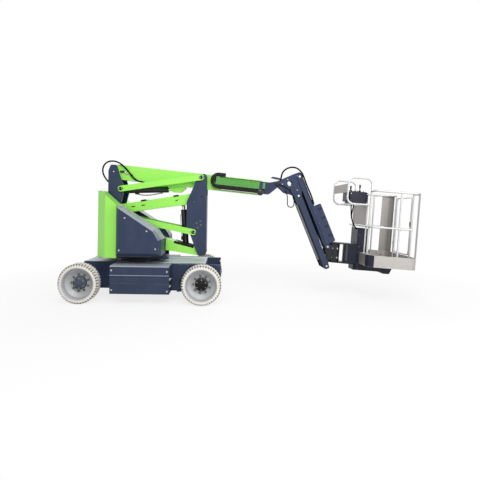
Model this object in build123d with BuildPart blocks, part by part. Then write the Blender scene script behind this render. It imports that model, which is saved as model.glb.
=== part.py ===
"""Battery-driven articulated boom lift with a riser, a telescopic boom, a jib and a platform.

Frame: +X points from the steered wheels to the platform, +Y to the far side, +Z up.
The origin is on the ground under the middle of the machine. Lengths are in millimetres.
"""

import os
from math import atan2, cos, degrees, hypot, radians, sin, sqrt, tan

from build123d import *

os.makedirs("parts", exist_ok=True)

# Wheels
tyre_diameter = 559
tyre_width = 178
rim_diameter = 451
machine_width = 1500
steer_wheel_x = -2287
drive_wheel_x = -582
shoulder = 14
dish_depth = 118
axle_radius = 30
running = 0.05

# Chassis
frame_top = 540
frame_bottom = 150
sheet = 12
steer_end_x = -2340
steer_end_half = 330
middle_x = -1862
middle_half = 452
drive_x = -950
drive_end_x = -322
drive_half = 450
drive_deck_x = -540
side_box_x = (-1852, -1030)
side_box_z = (144, 536)
side_box_outer = 720
motor_bore = 70
tie_down_sheet = 16
tie_down_reach = 45
tie_down_radius = 38
tie_down_bore = 21
tie_down_z = 455

# Steering
kingpin_radius = 18
knuckle_radius = 45
axle_beam_z = (225, 335)
steering_arm = 130
web_clearance = 43
boss_clearance = 3
tie_rod_z = 190
gap = 5

# Turntable
slew_x = -1560
ring_radius = 310
base_z = (580, 604)
upright_inner = 215
upright = 20
tail_x = -2121
tail_half = 550
tail_chamfer = 144
tail_front_x = -1806
cover_z = (622, 1584)
cover_wall = 6
cover_slot_half = 245
panel_half = 650
panel_bevel = 45
shelf_x = (-1780, -1300)
shelf_z = (650, 664)

# Riser
riser_arm = 1234
lower_slope = 11.3
upper_slope = 8.85
arm_half = 148
cheek_inner = 155
cheek = 20
link_sheet = 25
link_radius = 44
ear_inner = 50
ear_sheet = 16
pin_radius = 22
pin_head = 30
turntable_arm_pin = (-1825, 920)
turntable_link_pin = (-1954, 1227)
mast_arm_pin = (-744, 1497)
mast_link_pin = (-631, 1818)
riser_lug = (-868, 765)
lug_radius = 18
riser_ear = (-914, 1402)

# Boom
boom_pin = (-1966, 1945)
boom_slope = 5.5
boom_height = 226
boom_half = 100
boom_wall = 8
boom_start = 28
boom_end = 2262
inner_height = 184
inner_half = 80
inner_gap = 6
level_pin = (540, 1745)
boom_cylinder_pin = (-1840, 1608)
boom_ear_pin = (-1046, 1634)

# Jib
jib_slope = 67.5
jib_length = 1162
jib_half = 100
jib_sheet = 8
jib_low_pin = (863, 1561)
jib_pin_step = (12, 297)
jib_barrel_pin = (869, 1711)
jib_rod_along = 1022
jib_rod_across = 30
head_half = 85
head_sheet = 20

# Rotator and platform
rotator = (1440, 700)
rotator_radius = 85
platform_tilt = 3.7
platform_u = (345, 1065)
platform_half = 545
platform_corner = 105
floor_v = -118
toe_v = (-132, 38)
rail_v = 982
mid_rail_v = 443
rail_radius = 16
hoop_u = (36, 402)
hoop_v = (758, 1143)
hoop_half = 370
post_u = (315, 475)
post_v = (-232, 403)
post_half = 150


def turned(origin, angle):
    """Give a vertical drawing plane whose local x leans by an angle above +X."""
    lean = radians(angle)
    return Plane(origin=(origin[0], 0, origin[1]), x_dir=(cos(lean), 0, sin(lean)), z_dir=(0, -1, 0))


def along(start, angle, length, across=0):
    """Give the point at a distance from a start along an angle above +X, and to its left."""
    c = cos(radians(angle))
    s = sin(radians(angle))
    return (start[0] + length * c - across * s, start[1] + length * s + across * c)


def slab(frame, points, low, high, mode=Mode.ADD, rounding=0):
    """Extrude an outline drawn on a vertical plane from y = low to y = high."""
    with BuildSketch(frame.offset(-high)) as outline:
        Polygon(*points, align=None)
        if rounding:
            fillet(outline.vertices(), rounding)
    extrude(outline.sketch, amount=high - low, mode=mode)


def disc(frame, centre, radius, low, high, mode=Mode.ADD):
    """Extrude a circle drawn on a vertical plane from y = low to y = high."""
    with BuildSketch(frame.offset(-high)) as outline:
        with Locations(centre):
            Circle(radius)
    extrude(outline.sketch, amount=high - low, mode=mode)


def pill(frame, start, end, radius, low, high, mode=Mode.ADD):
    """Extrude a straight bar with two round ends."""
    step = (end[0] - start[0], end[1] - start[1])
    with BuildSketch(frame.offset(-high)) as outline:
        with Locations(((start[0] + end[0]) / 2, (start[1] + end[1]) / 2)):
            SlotCenterToCenter(hypot(*step), 2 * radius, rotation=degrees(atan2(step[1], step[0])))
    extrude(outline.sketch, amount=high - low, mode=mode)


def panel(frame, corner, size, low, high, mode=Mode.ADD):
    """Extrude a rectangle given by its low corner and size on a vertical plane."""
    with BuildSketch(frame.offset(-high)) as outline:
        with Locations((corner[0] + size[0] / 2, corner[1] + size[1] / 2)):
            Rectangle(*size)
    extrude(outline.sketch, amount=high - low, mode=mode)


def block(low, high, mode=Mode.ADD):
    """Make a box between two corners."""
    with Locations(tuple((a + b) / 2 for a, b in zip(low, high))):
        Box(*[b - a for a, b in zip(low, high)], mode=mode)


def rod(start, end, radius, mode=Mode.ADD):
    """Make a round bar between two points in space."""
    axis = Vector(*end) - Vector(*start)
    with BuildSketch(Plane(origin=start, z_dir=axis)) as section:
        Circle(radius)
    extrude(section.sketch, amount=axis.length, mode=mode)


def bends(points):
    """Give the arc radius at each corner of a hose's route, as large as its runs allow."""
    radii = []
    for before, corner, after in zip(points, points[1:], points[2:]):
        run_in = Vector(*corner) - Vector(*before)
        run_out = Vector(*after) - Vector(*corner)
        turn = radians(run_in.get_angle(run_out))
        radii.append(0.45 * min(run_in.length, run_out.length) / tan(turn / 2))
    return radii


def hose(points, radius):
    """Sweep a round section along straight runs joined by arcs."""
    with BuildLine() as path:
        FilletPolyline(*points, radius=bends(points))
    with BuildSketch(Plane(origin=path.line @ 0, z_dir=path.line % 0)) as section:
        Circle(radius)
    sweep(sections=section.sketch, path=path.line)
    print("hose", round(path.wire().length), "tightest bend", round(min(bends(points))))


def save(shape, name):
    """Label a finished piece and write it."""
    shape.part.label = name
    export_step(shape.part, f"parts/{name}.step")


ground = Plane.XZ
tyre_radius = tyre_diameter / 2
rim_radius = rim_diameter / 2
outer_face = machine_width / 2
inner_face = outer_face - tyre_width
dish_face = outer_face - dish_depth
hub_inner = inner_face + 6
wheels = (
    ("steer_near", steer_wheel_x, -1),
    ("steer_far", steer_wheel_x, 1),
    ("drive_near", drive_wheel_x, -1),
    ("drive_far", drive_wheel_x, 1),
)

# Tyre: a solid tyre with rolled shoulders
with BuildPart() as tyre:
    with BuildSketch(Plane.XY):
        with BuildLine():
            Polyline(
                (rim_radius, inner_face),
                (tyre_radius - shoulder, inner_face),
                (tyre_radius - 0.3 * shoulder, inner_face + 0.3 * shoulder),
                (tyre_radius, inner_face + shoulder),
                (tyre_radius, outer_face - shoulder),
                (tyre_radius - 0.3 * shoulder, outer_face - 0.3 * shoulder),
                (tyre_radius - shoulder, outer_face),
                (rim_radius, outer_face),
                close=True,
            )
        make_face()
    revolve(axis=Axis.Y)

# Rim: a dished disc with a hub that turns on its axle
hub_radius = 95
with BuildPart() as rim:
    with BuildSketch(Plane.XY):
        with BuildLine():
            Polyline(
                (axle_radius + running, hub_inner),
                (80, hub_inner),
                (80, dish_face - 14),
                (140, dish_face - 14),
                (rim_radius - 24, outer_face - 92),
                (rim_radius - 14, hub_inner),
                (rim_radius, hub_inner),
                (rim_radius, outer_face),
                (rim_radius - 10, outer_face),
                (rim_radius - 18, outer_face - 12),
                (rim_radius - 24, outer_face - 76),
                (140, dish_face),
                (hub_radius, dish_face),
                (hub_radius - 6, dish_face + 40),
                (50, dish_face + 58),
                (0, dish_face + 62),
                (0, dish_face + 10),
                (axle_radius + running, dish_face + 10),
                close=True,
            )
        make_face()
    revolve(axis=Axis.Y)

for name, x, side in wheels:
    turn = Rot(0, 0, 180) if side < 0 else Rot(0, 0, 0)
    for kind, solid in (("tyre", tyre.part), ("rim", rim.part)):
        placed = Pos(x, 0, tyre_radius) * turn * solid
        placed.label = f"{kind}_{name}"
        export_step(placed, f"parts/{kind}_{name}.step")

# Knuckle places, worked out from the wheel they carry
web = 20
web_y = hub_inner - web - web_clearance
kingpin_half = web_y - knuckle_radius - gap - boss_clearance

# Chassis: side plates and decks welded to a frame that is open below
axle_half = (axle_beam_z[1] - axle_beam_z[0]) / 2
axle_middle = (axle_beam_z[0] + axle_beam_z[1]) / 2
beam_half = 40
tie_rod_x = steer_wheel_x + steering_arm
with BuildPart() as steer_frame:
    for side in (-1, 1):
        low = min(side * steer_end_half, side * (steer_end_half - sheet))
        panel(ground, (steer_end_x, frame_bottom), (middle_x - steer_end_x, frame_top - frame_bottom),
              low, low + sheet)
        panel(ground, (steer_wheel_x - beam_half, axle_beam_z[0]), (2 * beam_half, 2 * axle_half),
              low - 1, low + sheet + 1, Mode.SUBTRACT)
        panel(ground, (tie_rod_x - 70, tie_rod_z - 32), (125, 64), low - 1, low + sheet + 1, Mode.SUBTRACT)
    block((steer_end_x, -steer_end_half, frame_top - sheet), (middle_x, steer_end_half, frame_top))
    block((steer_end_x, -steer_end_half, frame_bottom), (steer_end_x + sheet, steer_end_half, frame_top))
save(steer_frame, "steer_frame")
with BuildPart() as chassis:
    for side in (-1, 1):
        low = min(side * middle_half, side * (middle_half - sheet))
        panel(ground, (middle_x, frame_bottom), (drive_x - middle_x + 40, frame_top - frame_bottom),
              low, low + sheet)
        low = min(side * drive_half, side * (drive_half - sheet))
        with BuildSketch(ground.offset(-low - sheet)) as drive_side:
            with BuildLine():
                FilletPolyline(
                    (drive_x, frame_bottom - 14),
                    (drive_end_x, frame_bottom - 14),
                    (drive_end_x, frame_top - 10),
                    (drive_x, frame_top - 10),
                    radius=(60, 60, 1, 1),
                    close=True,
                )
            make_face()
        extrude(drive_side.sketch, amount=sheet)
        disc(ground, (drive_wheel_x, tyre_radius), motor_bore, low, low + sheet, Mode.SUBTRACT)
        low = min(side * drive_half, side * (drive_half + 14))
        panel(ground, (drive_x, frame_bottom - 14), (44, frame_top - frame_bottom + 14), low, low + 14)
    block((middle_x, -middle_half + sheet, frame_top - sheet), (drive_deck_x, middle_half - sheet, frame_top))
    for x in (middle_x, drive_x):
        block((x, -middle_half, frame_bottom), (x + sheet, middle_half, frame_top))
    block((drive_deck_x - sheet, -drive_half + 1, 400), (drive_deck_x, drive_half - 1, frame_top))
save(chassis, "chassis")

# Tie-down eyes: lugs beside both ends of the frame, open towards the ends
with BuildPart() as tie_downs:
    for side in (-1, 1):
        for x, inward, root, reach in (
            (steer_end_x, 1, steer_end_half, tie_down_reach),
            (drive_end_x, -1, drive_half - sheet, -tie_down_reach),
        ):
            eye_y = side * (root + reach)
            near_x, far_x = sorted((x, x + inward * tie_down_sheet))
            low, high = sorted((side * root, eye_y))
            block((near_x, low, tie_down_z - tie_down_radius), (far_x, high, tie_down_z + tie_down_radius))
            rod((near_x, eye_y, tie_down_z), (far_x, eye_y, tie_down_z), tie_down_radius)
            rod((near_x - 1, eye_y, tie_down_z), (far_x + 1, eye_y, tie_down_z), tie_down_bore, Mode.SUBTRACT)
save(tie_downs, "tie_downs")

# Steer axle: a beam through the frame with a kingpin boss at each end
with BuildPart() as steer_axle:
    block((steer_wheel_x - beam_half, -kingpin_half, axle_beam_z[0]),
          (steer_wheel_x + beam_half, kingpin_half, axle_beam_z[1]))
    for side in (-1, 1):
        with BuildSketch(Plane.XY.offset(axle_beam_z[0])) as boss:
            with Locations((steer_wheel_x, side * kingpin_half)):
                Circle(knuckle_radius)
        extrude(boss.sketch, amount=2 * axle_half)
        with BuildSketch(Plane.XY.offset(axle_beam_z[0])) as bore:
            with Locations((steer_wheel_x, side * kingpin_half)):
                Circle(kingpin_radius + running)
        extrude(bore.sketch, amount=2 * axle_half, mode=Mode.SUBTRACT)
save(steer_axle, "steer_axle")

# Knuckles: a yoke above and below the boss, a stub axle and a steering arm
yoke = 18
pin_step = 34
for name, side in (("near", -1), ("far", 1)):
    with BuildPart() as knuckle:
        for z in (axle_beam_z[0] - gap - yoke, axle_beam_z[1] + gap):
            with BuildSketch(Plane.XY.offset(z)) as ear:
                with Locations((steer_wheel_x, side * kingpin_half)):
                    Circle(knuckle_radius)
                with Locations((steer_wheel_x, side * (kingpin_half + web_y + web) / 2)):
                    Rectangle(2 * knuckle_radius, web_y + web - kingpin_half)
            extrude(ear.sketch, amount=yoke)
        low = min(side * web_y, side * (web_y + web))
        block((steer_wheel_x - knuckle_radius, low, axle_beam_z[0] - gap - yoke),
              (steer_wheel_x + knuckle_radius, low + web, axle_beam_z[1] + gap + yoke))
        rod((steer_wheel_x, side * kingpin_half, axle_beam_z[0] - gap - yoke - 10),
            (steer_wheel_x, side * kingpin_half, axle_beam_z[1] + gap + yoke + 10), kingpin_radius)
        rod((steer_wheel_x, side * web_y, tyre_radius), (steer_wheel_x, side * dish_face, tyre_radius), axle_radius)
        arm_z = axle_beam_z[0] - gap - yoke
        with BuildSketch(Plane.XY.offset(arm_z)) as arm:
            with Locations((steer_wheel_x + steering_arm / 2, side * kingpin_half)):
                SlotCenterToCenter(steering_arm, 50)
        extrude(arm.sketch, amount=yoke)
        rod((tie_rod_x, side * kingpin_half, arm_z - pin_step), (tie_rod_x, side * kingpin_half, arm_z), 10)
    save(knuckle, f"knuckle_{name}")

# Tie rod: joins the two steering arms under the axle
arm_bottom = axle_beam_z[0] - gap - yoke
with BuildPart() as tie_rod:
    for side in (-1, 1):
        with BuildSketch(Plane.XY.offset(arm_bottom - pin_step + 2)) as eye:
            with Locations((tie_rod_x, side * kingpin_half)):
                Circle(22)
        extrude(eye.sketch, amount=pin_step - 4)
    rod((tie_rod_x, -kingpin_half, arm_bottom - pin_step / 2), (tie_rod_x, kingpin_half, arm_bottom - pin_step / 2), 12)
    for side, slack in ((-1, running), (1, 1)):
        rod((tie_rod_x, side * kingpin_half, arm_bottom - pin_step - 1),
            (tie_rod_x, side * kingpin_half, arm_bottom + 1), 10 + slack, Mode.SUBTRACT)
save(tie_rod, "tie_rod")

# Drive motors: a gear case on each side plate and the shaft that carries the wheel
with BuildPart() as drive_motors:
    for side in (-1, 1):
        rod((drive_wheel_x, side * 130, tyre_radius), (drive_wheel_x, side * (drive_half - sheet), tyre_radius), 88)
        rod((drive_wheel_x, side * (drive_half - sheet), tyre_radius), (drive_wheel_x, side * drive_half, tyre_radius), motor_bore)
        rod((drive_wheel_x, side * drive_half, tyre_radius), (drive_wheel_x, side * (hub_inner - gap), tyre_radius), 98)
        rod((drive_wheel_x, side * (hub_inner - gap), tyre_radius), (drive_wheel_x, side * dish_face, tyre_radius), axle_radius)
save(drive_motors, "drive_motors")

# Side boxes: battery boxes with a ridge and a groove along their covers
with BuildPart() as side_boxes:
    for side in (-1, 1):
        with BuildSketch(Plane(origin=(side_box_x[0], 0, 0), x_dir=(0, side, 0), z_dir=(side, 0, 0))) as section:
            with BuildLine():
                Polyline(
                    (middle_half, side_box_z[0] + 6),
                    (side_box_outer - 14, side_box_z[0]),
                    (side_box_outer, side_box_z[0] + 12),
                    (side_box_outer, 290),
                    (side_box_outer - 8, 294),
                    (side_box_outer, 299),
                    (side_box_outer, 396),
                    (side_box_outer + 8, 402),
                    (side_box_outer, 409),
                    (side_box_outer, side_box_z[1] - 14),
                    (side_box_outer - 14, side_box_z[1]),
                    (middle_half, side_box_z[1] + 4),
                    close=True,
                )
            make_face()
        extrude(section.sketch, amount=side * (side_box_x[1] - side_box_x[0]))
save(side_boxes, "side_boxes")

# Slew ring: the fixed ring under the turntable
with BuildPart() as slew_ring:
    with BuildSketch(Plane.XY.offset(frame_top)) as ring:
        with Locations((slew_x, 0)):
            Circle(ring_radius)
            Circle(ring_radius - 90, mode=Mode.SUBTRACT)
    extrude(ring.sketch, amount=base_z[0] - frame_top - 0.3)
save(slew_ring, "slew_ring")

# Turntable: base plate, two uprights and the pins of the riser
with BuildPart() as turntable:
    with BuildSketch(Plane.XY.offset(base_z[0])) as base:
        with Locations(((tail_x + 60 - 1160) / 2, 0)):
            Rectangle(-1160 - tail_x - 60, 2 * (upright_inner + upright))
    extrude(base.sketch, amount=base_z[1] - base_z[0])
    for side in (-1, 1):
        low = min(side * upright_inner, side * (upright_inner + upright))
        slab(
            ground,
            [
                (-1970, base_z[1]),
                (-1160, base_z[1]),
                (-1150, 880),
                (-1290, 1025),
                (-1435, 1145),
                (-1735, 1292),
                (-2030, 1292),
                (-2030, 1150),
                (-1970, 1120),
            ],
            low,
            low + upright,
        )
        inner = side * (cheek_inner + cheek + 2)
        disc(ground, turntable_link_pin, pin_radius - 2, min(inner, side * upright_inner), max(inner, side * upright_inner))
    disc(ground, turntable_arm_pin, pin_radius, -upright_inner, upright_inner)
    for side in (-1, 1):
        low = min(side * upright_inner, side * (panel_half - panel_bevel))
        block((shelf_x[0], low, shelf_z[0]), (shelf_x[1], low + panel_half - panel_bevel - upright_inner, shelf_z[1]))
        low = min(side * upright_inner, side * (tail_half - cover_wall))
        block((-1950, low, shelf_z[0]), (-1830, low + tail_half - cover_wall - upright_inner, shelf_z[1]))
    block((-1190, -300, 585), (-1100, -upright_inner, 604))
    rod((-1150, -320, 615), (-1150, -190, 615), 40)
save(turntable, "turntable")

# Tail cover: a folded sheet shell with bevelled rear corners, open in front, below and at its slot
tail_slope_x = -2046
tail_front_z = 1372


def tail_plan(inset, front):
    """Give the plan outline of the tail cover, moved inwards by an inset."""
    corner = tail_chamfer + 0.41 * inset
    half = tail_half - inset
    rear = tail_x + inset
    near_corner = tail_half - corner
    return [(front, half), (tail_x + corner, half), (rear, near_corner),
            (rear, -near_corner), (tail_x + corner, -half), (front, -half)]


def tail_side(inset, front):
    """Give the side outline of the tail cover, moved inwards by an inset."""
    bottom = cover_z[0] - 3 * inset
    top = cover_z[1] - inset
    rise = (cover_z[1] - tail_front_z) / (tail_front_x - tail_slope_x)
    front_top = cover_z[1] - 1.3 * inset - rise * (front - tail_slope_x)
    return [(tail_x - 5, bottom), (front, bottom), (front, front_top), (tail_slope_x, top), (tail_x - 5, top)]


with BuildPart() as tail_inside:
    with BuildSketch(Plane.XY) as plan:
        Polygon(*tail_plan(cover_wall, tail_front_x + 10), align=None)
    extrude(plan.sketch, amount=cover_z[1] + 10)
    slab(ground, tail_side(cover_wall, tail_front_x + 10), -tail_half, tail_half, Mode.INTERSECT)
with BuildPart() as tail_cover:
    with BuildSketch(Plane.XY) as plan:
        Polygon(*tail_plan(0, tail_front_x), align=None)
    extrude(plan.sketch, amount=cover_z[1] + 10)
    slab(ground, tail_side(0, tail_front_x), -tail_half, tail_half, Mode.INTERSECT)
    add(tail_inside.part, mode=Mode.SUBTRACT)
    block((tail_x + 60, -cover_slot_half, 1240), (tail_front_x + 20, cover_slot_half, cover_z[1] + 10), Mode.SUBTRACT)
save(tail_cover, "tail_cover")

# Side panels: folded covers with bevels all round, open towards the uprights and below
panel_face = [(-1772, 700), (-1204, 700), (-1204, 883), (-1280, 1013), (-1772, 1334)]
panel_outer = [(-1800, 660), (-1162, 660), (-1162, 900), (-1258, 1040), (-1800, 1374)]
panel_inner = [(-1794, 650), (-1168, 650), (-1168, 898), (-1262, 1035), (-1794, 1367)]
panel_depth = panel_half - panel_bevel
covers = []
for side in (-1, 1):
    with BuildPart() as cover:
        with BuildSketch(ground.offset(-side * panel_depth)) as rim_outline:
            Polygon(*panel_outer, align=None)
        with BuildSketch(ground.offset(-side * panel_half)) as face_outline:
            Polygon(*panel_face, align=None)
        loft([rim_outline.sketch.face(), face_outline.sketch.face()])
        low = min(side * cover_slot_half, side * panel_depth)
        slab(ground, panel_outer, low, low + panel_depth - cover_slot_half)
        low = min(side * (cover_slot_half - 5), side * panel_depth)
        slab(ground, panel_inner, low, low + panel_depth - cover_slot_half + 5, Mode.SUBTRACT)
    covers.append(cover.part)
with BuildPart() as side_panels:
    for shell in covers:
        add(shell)
save(side_panels, "side_panels")

# Heavy masses under the covers: the cast counterweight and the power unit
with BuildPart() as counterweight:
    block((tail_x + cover_wall + 4, -380, base_z[1]), (-1990, 380, 1080))
save(counterweight, "counterweight")
with BuildPart() as power_unit:
    block((-1760, -560, shelf_z[1]), (-1320, -260, 900))
save(power_unit, "power_unit")

# Pins that follow from the arms' lengths and slopes
mast_low_pin = along(turntable_arm_pin, -lower_slope, riser_arm)
mast_lower_link_pin = along(turntable_link_pin, -lower_slope, riser_arm)
carrier_arm_pin = along(mast_arm_pin, 180 + upper_slope, riser_arm)
carrier_link_pin = along(mast_link_pin, 180 + upper_slope, riser_arm)

# Lower arm: a tapered box with a tray for the riser cylinder
lower_frame = turned(turntable_arm_pin, -lower_slope)
with BuildPart() as lower_arm:
    slab(lower_frame, [(0, -84), (620, -86), (riser_arm, -56), (riser_arm, 56), (620, 84), (0, 84)], -arm_half, arm_half)
    slab(lower_frame, [(40, -74), (620, -76), (1150, -48), (1150, 48), (620, 74), (40, 74)],
         -arm_half + boom_wall, arm_half - boom_wall, Mode.SUBTRACT)
    disc(lower_frame, (0, 0), 84, -arm_half, arm_half)
    disc(lower_frame, (riser_arm, 0), 56, -arm_half, arm_half)
    for along_arm in (0, riser_arm):
        disc(lower_frame, (along_arm, 0), pin_radius + running, -arm_half - 1, arm_half + 1, Mode.SUBTRACT)
    panel(lower_frame, (830, 0), (270, 130), -80, 80, Mode.SUBTRACT)
    for v in (-34, 30):
        pill(lower_frame, (585, v), (625, v - 2), 9, -arm_half - 1, arm_half + 1, Mode.SUBTRACT)
    disc(ground, riser_lug, lug_radius, -arm_half + 2, arm_half - 2)
save(lower_arm, "lower_arm")

# Lower links and upper links: a pair of flat bars each, outside the cheeks
link_in = cheek_inner + cheek + gap
for name, start, end in (
    ("lower_links", turntable_link_pin, mast_lower_link_pin),
    ("upper_links", carrier_link_pin, mast_link_pin),
):
    with BuildPart() as links:
        for side in (-1, 1):
            low = min(side * link_in, side * (link_in + link_sheet))
            pill(ground, start, end, link_radius, low, low + link_sheet)
            for pin in (start, end):
                disc(ground, pin, pin_radius + running - 2, low - 1, low + link_sheet + 1, Mode.SUBTRACT)
    save(links, name)

# Mast: two cheeks with a back plate, open at the top for the stowed boom
link_out = link_in + link_sheet
with BuildPart() as mast:
    for side in (-1, 1):
        low = min(side * cheek_inner, side * (cheek_inner + cheek))
        with BuildSketch(ground.offset(-low - cheek)) as outline:
            with BuildLine():
                FilletPolyline(
                    (-545, 628),
                    (-545, 1871),
                    (-668, 1871),
                    (-782, 1598),
                    (-850, 1447),
                    (-850, 1045),
                    (-784, 930),
                    (-668, 628),
                    radius=(48, 52, 40, 60, 60, 60, 60, 48),
                    close=True,
                )
            make_face()
        extrude(outline.sketch, amount=cheek)
        for pin in (mast_lower_link_pin, mast_link_pin):
            near = min(side * (cheek_inner + cheek), side * (link_out + 6))
            disc(ground, pin, pin_radius - 2, near, near + link_out + 6 - cheek_inner - cheek)
    disc(ground, (-745, 1450), 13, -cheek_inner - cheek - 1, cheek_inner + cheek + 1, Mode.SUBTRACT)
    disc(ground, (-619, 1529), 11, -cheek_inner - cheek - 1, cheek_inner + cheek + 1, Mode.SUBTRACT)
    panel(ground, (-557, 700), (12, 850), -cheek_inner, cheek_inner)
    for pin in (mast_low_pin, mast_arm_pin):
        disc(ground, pin, pin_radius, -cheek_inner, cheek_inner)
        for low in (-cheek_inner - cheek - 8, cheek_inner + cheek):
            disc(ground, pin, pin_head, low, low + 8)
save(mast, "mast")

# Upper arm: a box that carries the riser cylinder's ears
upper_frame = turned(carrier_arm_pin, upper_slope)
with BuildPart() as upper_arm:
    slab(upper_frame, [(0, -68), (riser_arm, -78), (riser_arm, 78), (0, 68)], -arm_half, arm_half)
    slab(upper_frame, [(80, -58), (riser_arm - 90, -68), (riser_arm - 90, 68), (80, 58)],
         -arm_half + boom_wall, arm_half - boom_wall, Mode.SUBTRACT)
    disc(upper_frame, (0, 0), 68, -arm_half, arm_half)
    disc(upper_frame, (riser_arm, 0), 78, -arm_half, arm_half)
    panel(upper_frame, (985, -100), (150, 60), -ear_inner + 1, ear_inner - 1, Mode.SUBTRACT)
    for u in (300, 455, 980):
        pill(upper_frame, (u - 22, 6), (u + 22, 6), 8, -arm_half - 1, arm_half + 1, Mode.SUBTRACT)
    for side in (-1, 1):
        low = min(side * ear_inner, side * (ear_inner + ear_sheet))
        pill(ground, riser_ear, (riser_ear[0] + 10, riser_ear[1] + 60), 34, low, low + ear_sheet)
        low = min(side * ear_inner, side * (ear_inner + ear_sheet + 8))
        disc(ground, riser_ear, 24, low, low + ear_sheet + 8)
    for along_arm in (0, riser_arm):
        disc(upper_frame, (along_arm, 0), pin_radius + running, -arm_half - 1, arm_half + 1, Mode.SUBTRACT)
save(upper_arm, "upper_arm")

# Cylinders: each has a barrel with a base eye and a rod whose eye floats between its ears
rod_radius = 25
eye_radius = 34
eye_half = 44


def barrel(base, tip, length, radius, pin, half):
    """Make a cylinder barrel that turns on a pin at its base."""
    lean = degrees(atan2(tip[1] - base[1], tip[0] - base[0]))
    frame = turned(base, lean)
    disc(frame, (0, 0), pin + 14, -half, half)
    start = along(base, lean, pin + 2)
    mouth = along(base, lean, length)
    rod((start[0], 0, start[1]), (mouth[0], 0, mouth[1]), radius)
    bottom = along(base, lean, pin + 40)
    rod((bottom[0], 0, bottom[1]), (mouth[0], 0, mouth[1]), rod_radius + running, Mode.SUBTRACT)
    disc(frame, (0, 0), pin + running, -half - 1, half + 1, Mode.SUBTRACT)


def piston(base, tip, start, pin):
    """Make a cylinder rod with the eye and the short pin at its far end."""
    lean = degrees(atan2(tip[1] - base[1], tip[0] - base[0]))
    near = along(base, lean, start)
    rod((near[0], 0, near[1]), (tip[0], 0, tip[1]), rod_radius)
    disc(ground, tip, eye_radius, -eye_half + 6, eye_half - 6)
    disc(ground, tip, pin, -eye_half, eye_half)


with BuildPart() as riser_barrel:
    barrel(riser_lug, riser_ear, 560, 47, lug_radius, 60)
save(riser_barrel, "riser_barrel")
with BuildPart() as riser_rod:
    piston(riser_lug, riser_ear, 64, 20)
save(riser_rod, "riser_rod")

# Boom carrier: the welded head of the riser that holds the telescopic boom
with BuildPart() as boom_carrier:
    for side in (-1, 1):
        low = min(side * cheek_inner, side * (cheek_inner + cheek))
        with BuildSketch(ground.offset(-low - cheek)) as outline:
            with BuildLine():
                FilletPolyline(
                    (-2012, 1992),
                    (-1922, 1992),
                    (-1864, 1815),
                    (-1808, 1680),
                    (-1808, 1560),
                    (-1850, 1400),
                    (-1905, 1243),
                    (-2020, 1243),
                    (-2046, 1330),
                    (-2046, 1905),
                    radius=(30, 30, 40, 34, 34, 40, 40, 40, 30, 40),
                    close=True,
                )
            make_face()
        extrude(outline.sketch, amount=cheek)
        near = min(side * (cheek_inner + cheek), side * (link_out + 6))
        disc(ground, carrier_link_pin, pin_radius - 2, near, near + link_out + 6 - cheek_inner - cheek)
    panel(ground, (-2046, 1420), (12, 380), -cheek_inner, cheek_inner)
    disc(ground, (-1967, 1893), 13, -cheek_inner - cheek - 1, cheek_inner + cheek + 1, Mode.SUBTRACT)
    for pin in (carrier_arm_pin, boom_pin, boom_cylinder_pin):
        disc(ground, pin, pin_radius, -cheek_inner, cheek_inner)
save(boom_carrier, "boom_carrier")

# Outer boom: a box section on the boom pin, with ears below for its cylinder
boom_frame = turned(boom_pin, -boom_slope)
boom_top = 60
boom_bottom = boom_top - boom_height
boom_cavity = (boom_bottom + boom_wall, boom_top - boom_wall)
boom_ear_inner = 55
boom_ear_sheet = 20
inner_top = boom_cavity[1] - inner_gap
inner_bottom = inner_top - inner_height
pad_length = 90
pad_gap = 0.3


def wear_pads(start, below, above, beside):
    """Fill the space between the two booms with a pad on each side, up to a small gap."""
    low = (below[0] + above[1]) / 2 - 30
    panel(boom_frame, (start, below[0]), (pad_length, below[1] - below[0]), -60, 60)
    panel(boom_frame, (start, above[0]), (pad_length, above[1] - above[0]), -60, 60)
    for side in (-1, 1):
        near = min(side * beside[0], side * beside[1])
        panel(boom_frame, (start, low), (pad_length, 60), near, near + beside[1] - beside[0])


with BuildPart() as boom_outer:
    slab(boom_frame, [(30, boom_top), (118, boom_bottom), (boom_end, boom_bottom), (boom_end, boom_top)],
         -boom_half, boom_half)
    slab(boom_frame, [(150, boom_cavity[0]), (boom_end + 5, boom_cavity[0]), (boom_end + 5, boom_cavity[1]),
                      (150, boom_cavity[1])], -boom_half + boom_wall, boom_half - boom_wall, Mode.SUBTRACT)
    disc(boom_frame, (0, 0), 50, -boom_half, boom_half)
    pill(boom_frame, (0, 0), (90, 0), 50, -boom_half, boom_half)
    disc(boom_frame, (0, 0), pin_radius + running, -boom_half - 1, boom_half + 1, Mode.SUBTRACT)
    wear_pads(boom_end - 120, (boom_cavity[0], inner_bottom - pad_gap), (inner_top + pad_gap, boom_cavity[1]),
              (inner_half + pad_gap, boom_half - boom_wall))
    for side in (-1, 1):
        low = min(side * boom_ear_inner, side * (boom_ear_inner + boom_ear_sheet))
        slab(ground, [(-1174, 1704), (-1081, 1590), (-955, 1588), (-850, 1674)], low, low + boom_ear_sheet, Mode.ADD, 18)
        low = min(side * boom_ear_inner, side * (boom_ear_inner + boom_ear_sheet + 8))
        disc(ground, boom_ear_pin, 24, low, low + boom_ear_sheet + 8)
save(boom_outer, "boom_outer")

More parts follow.
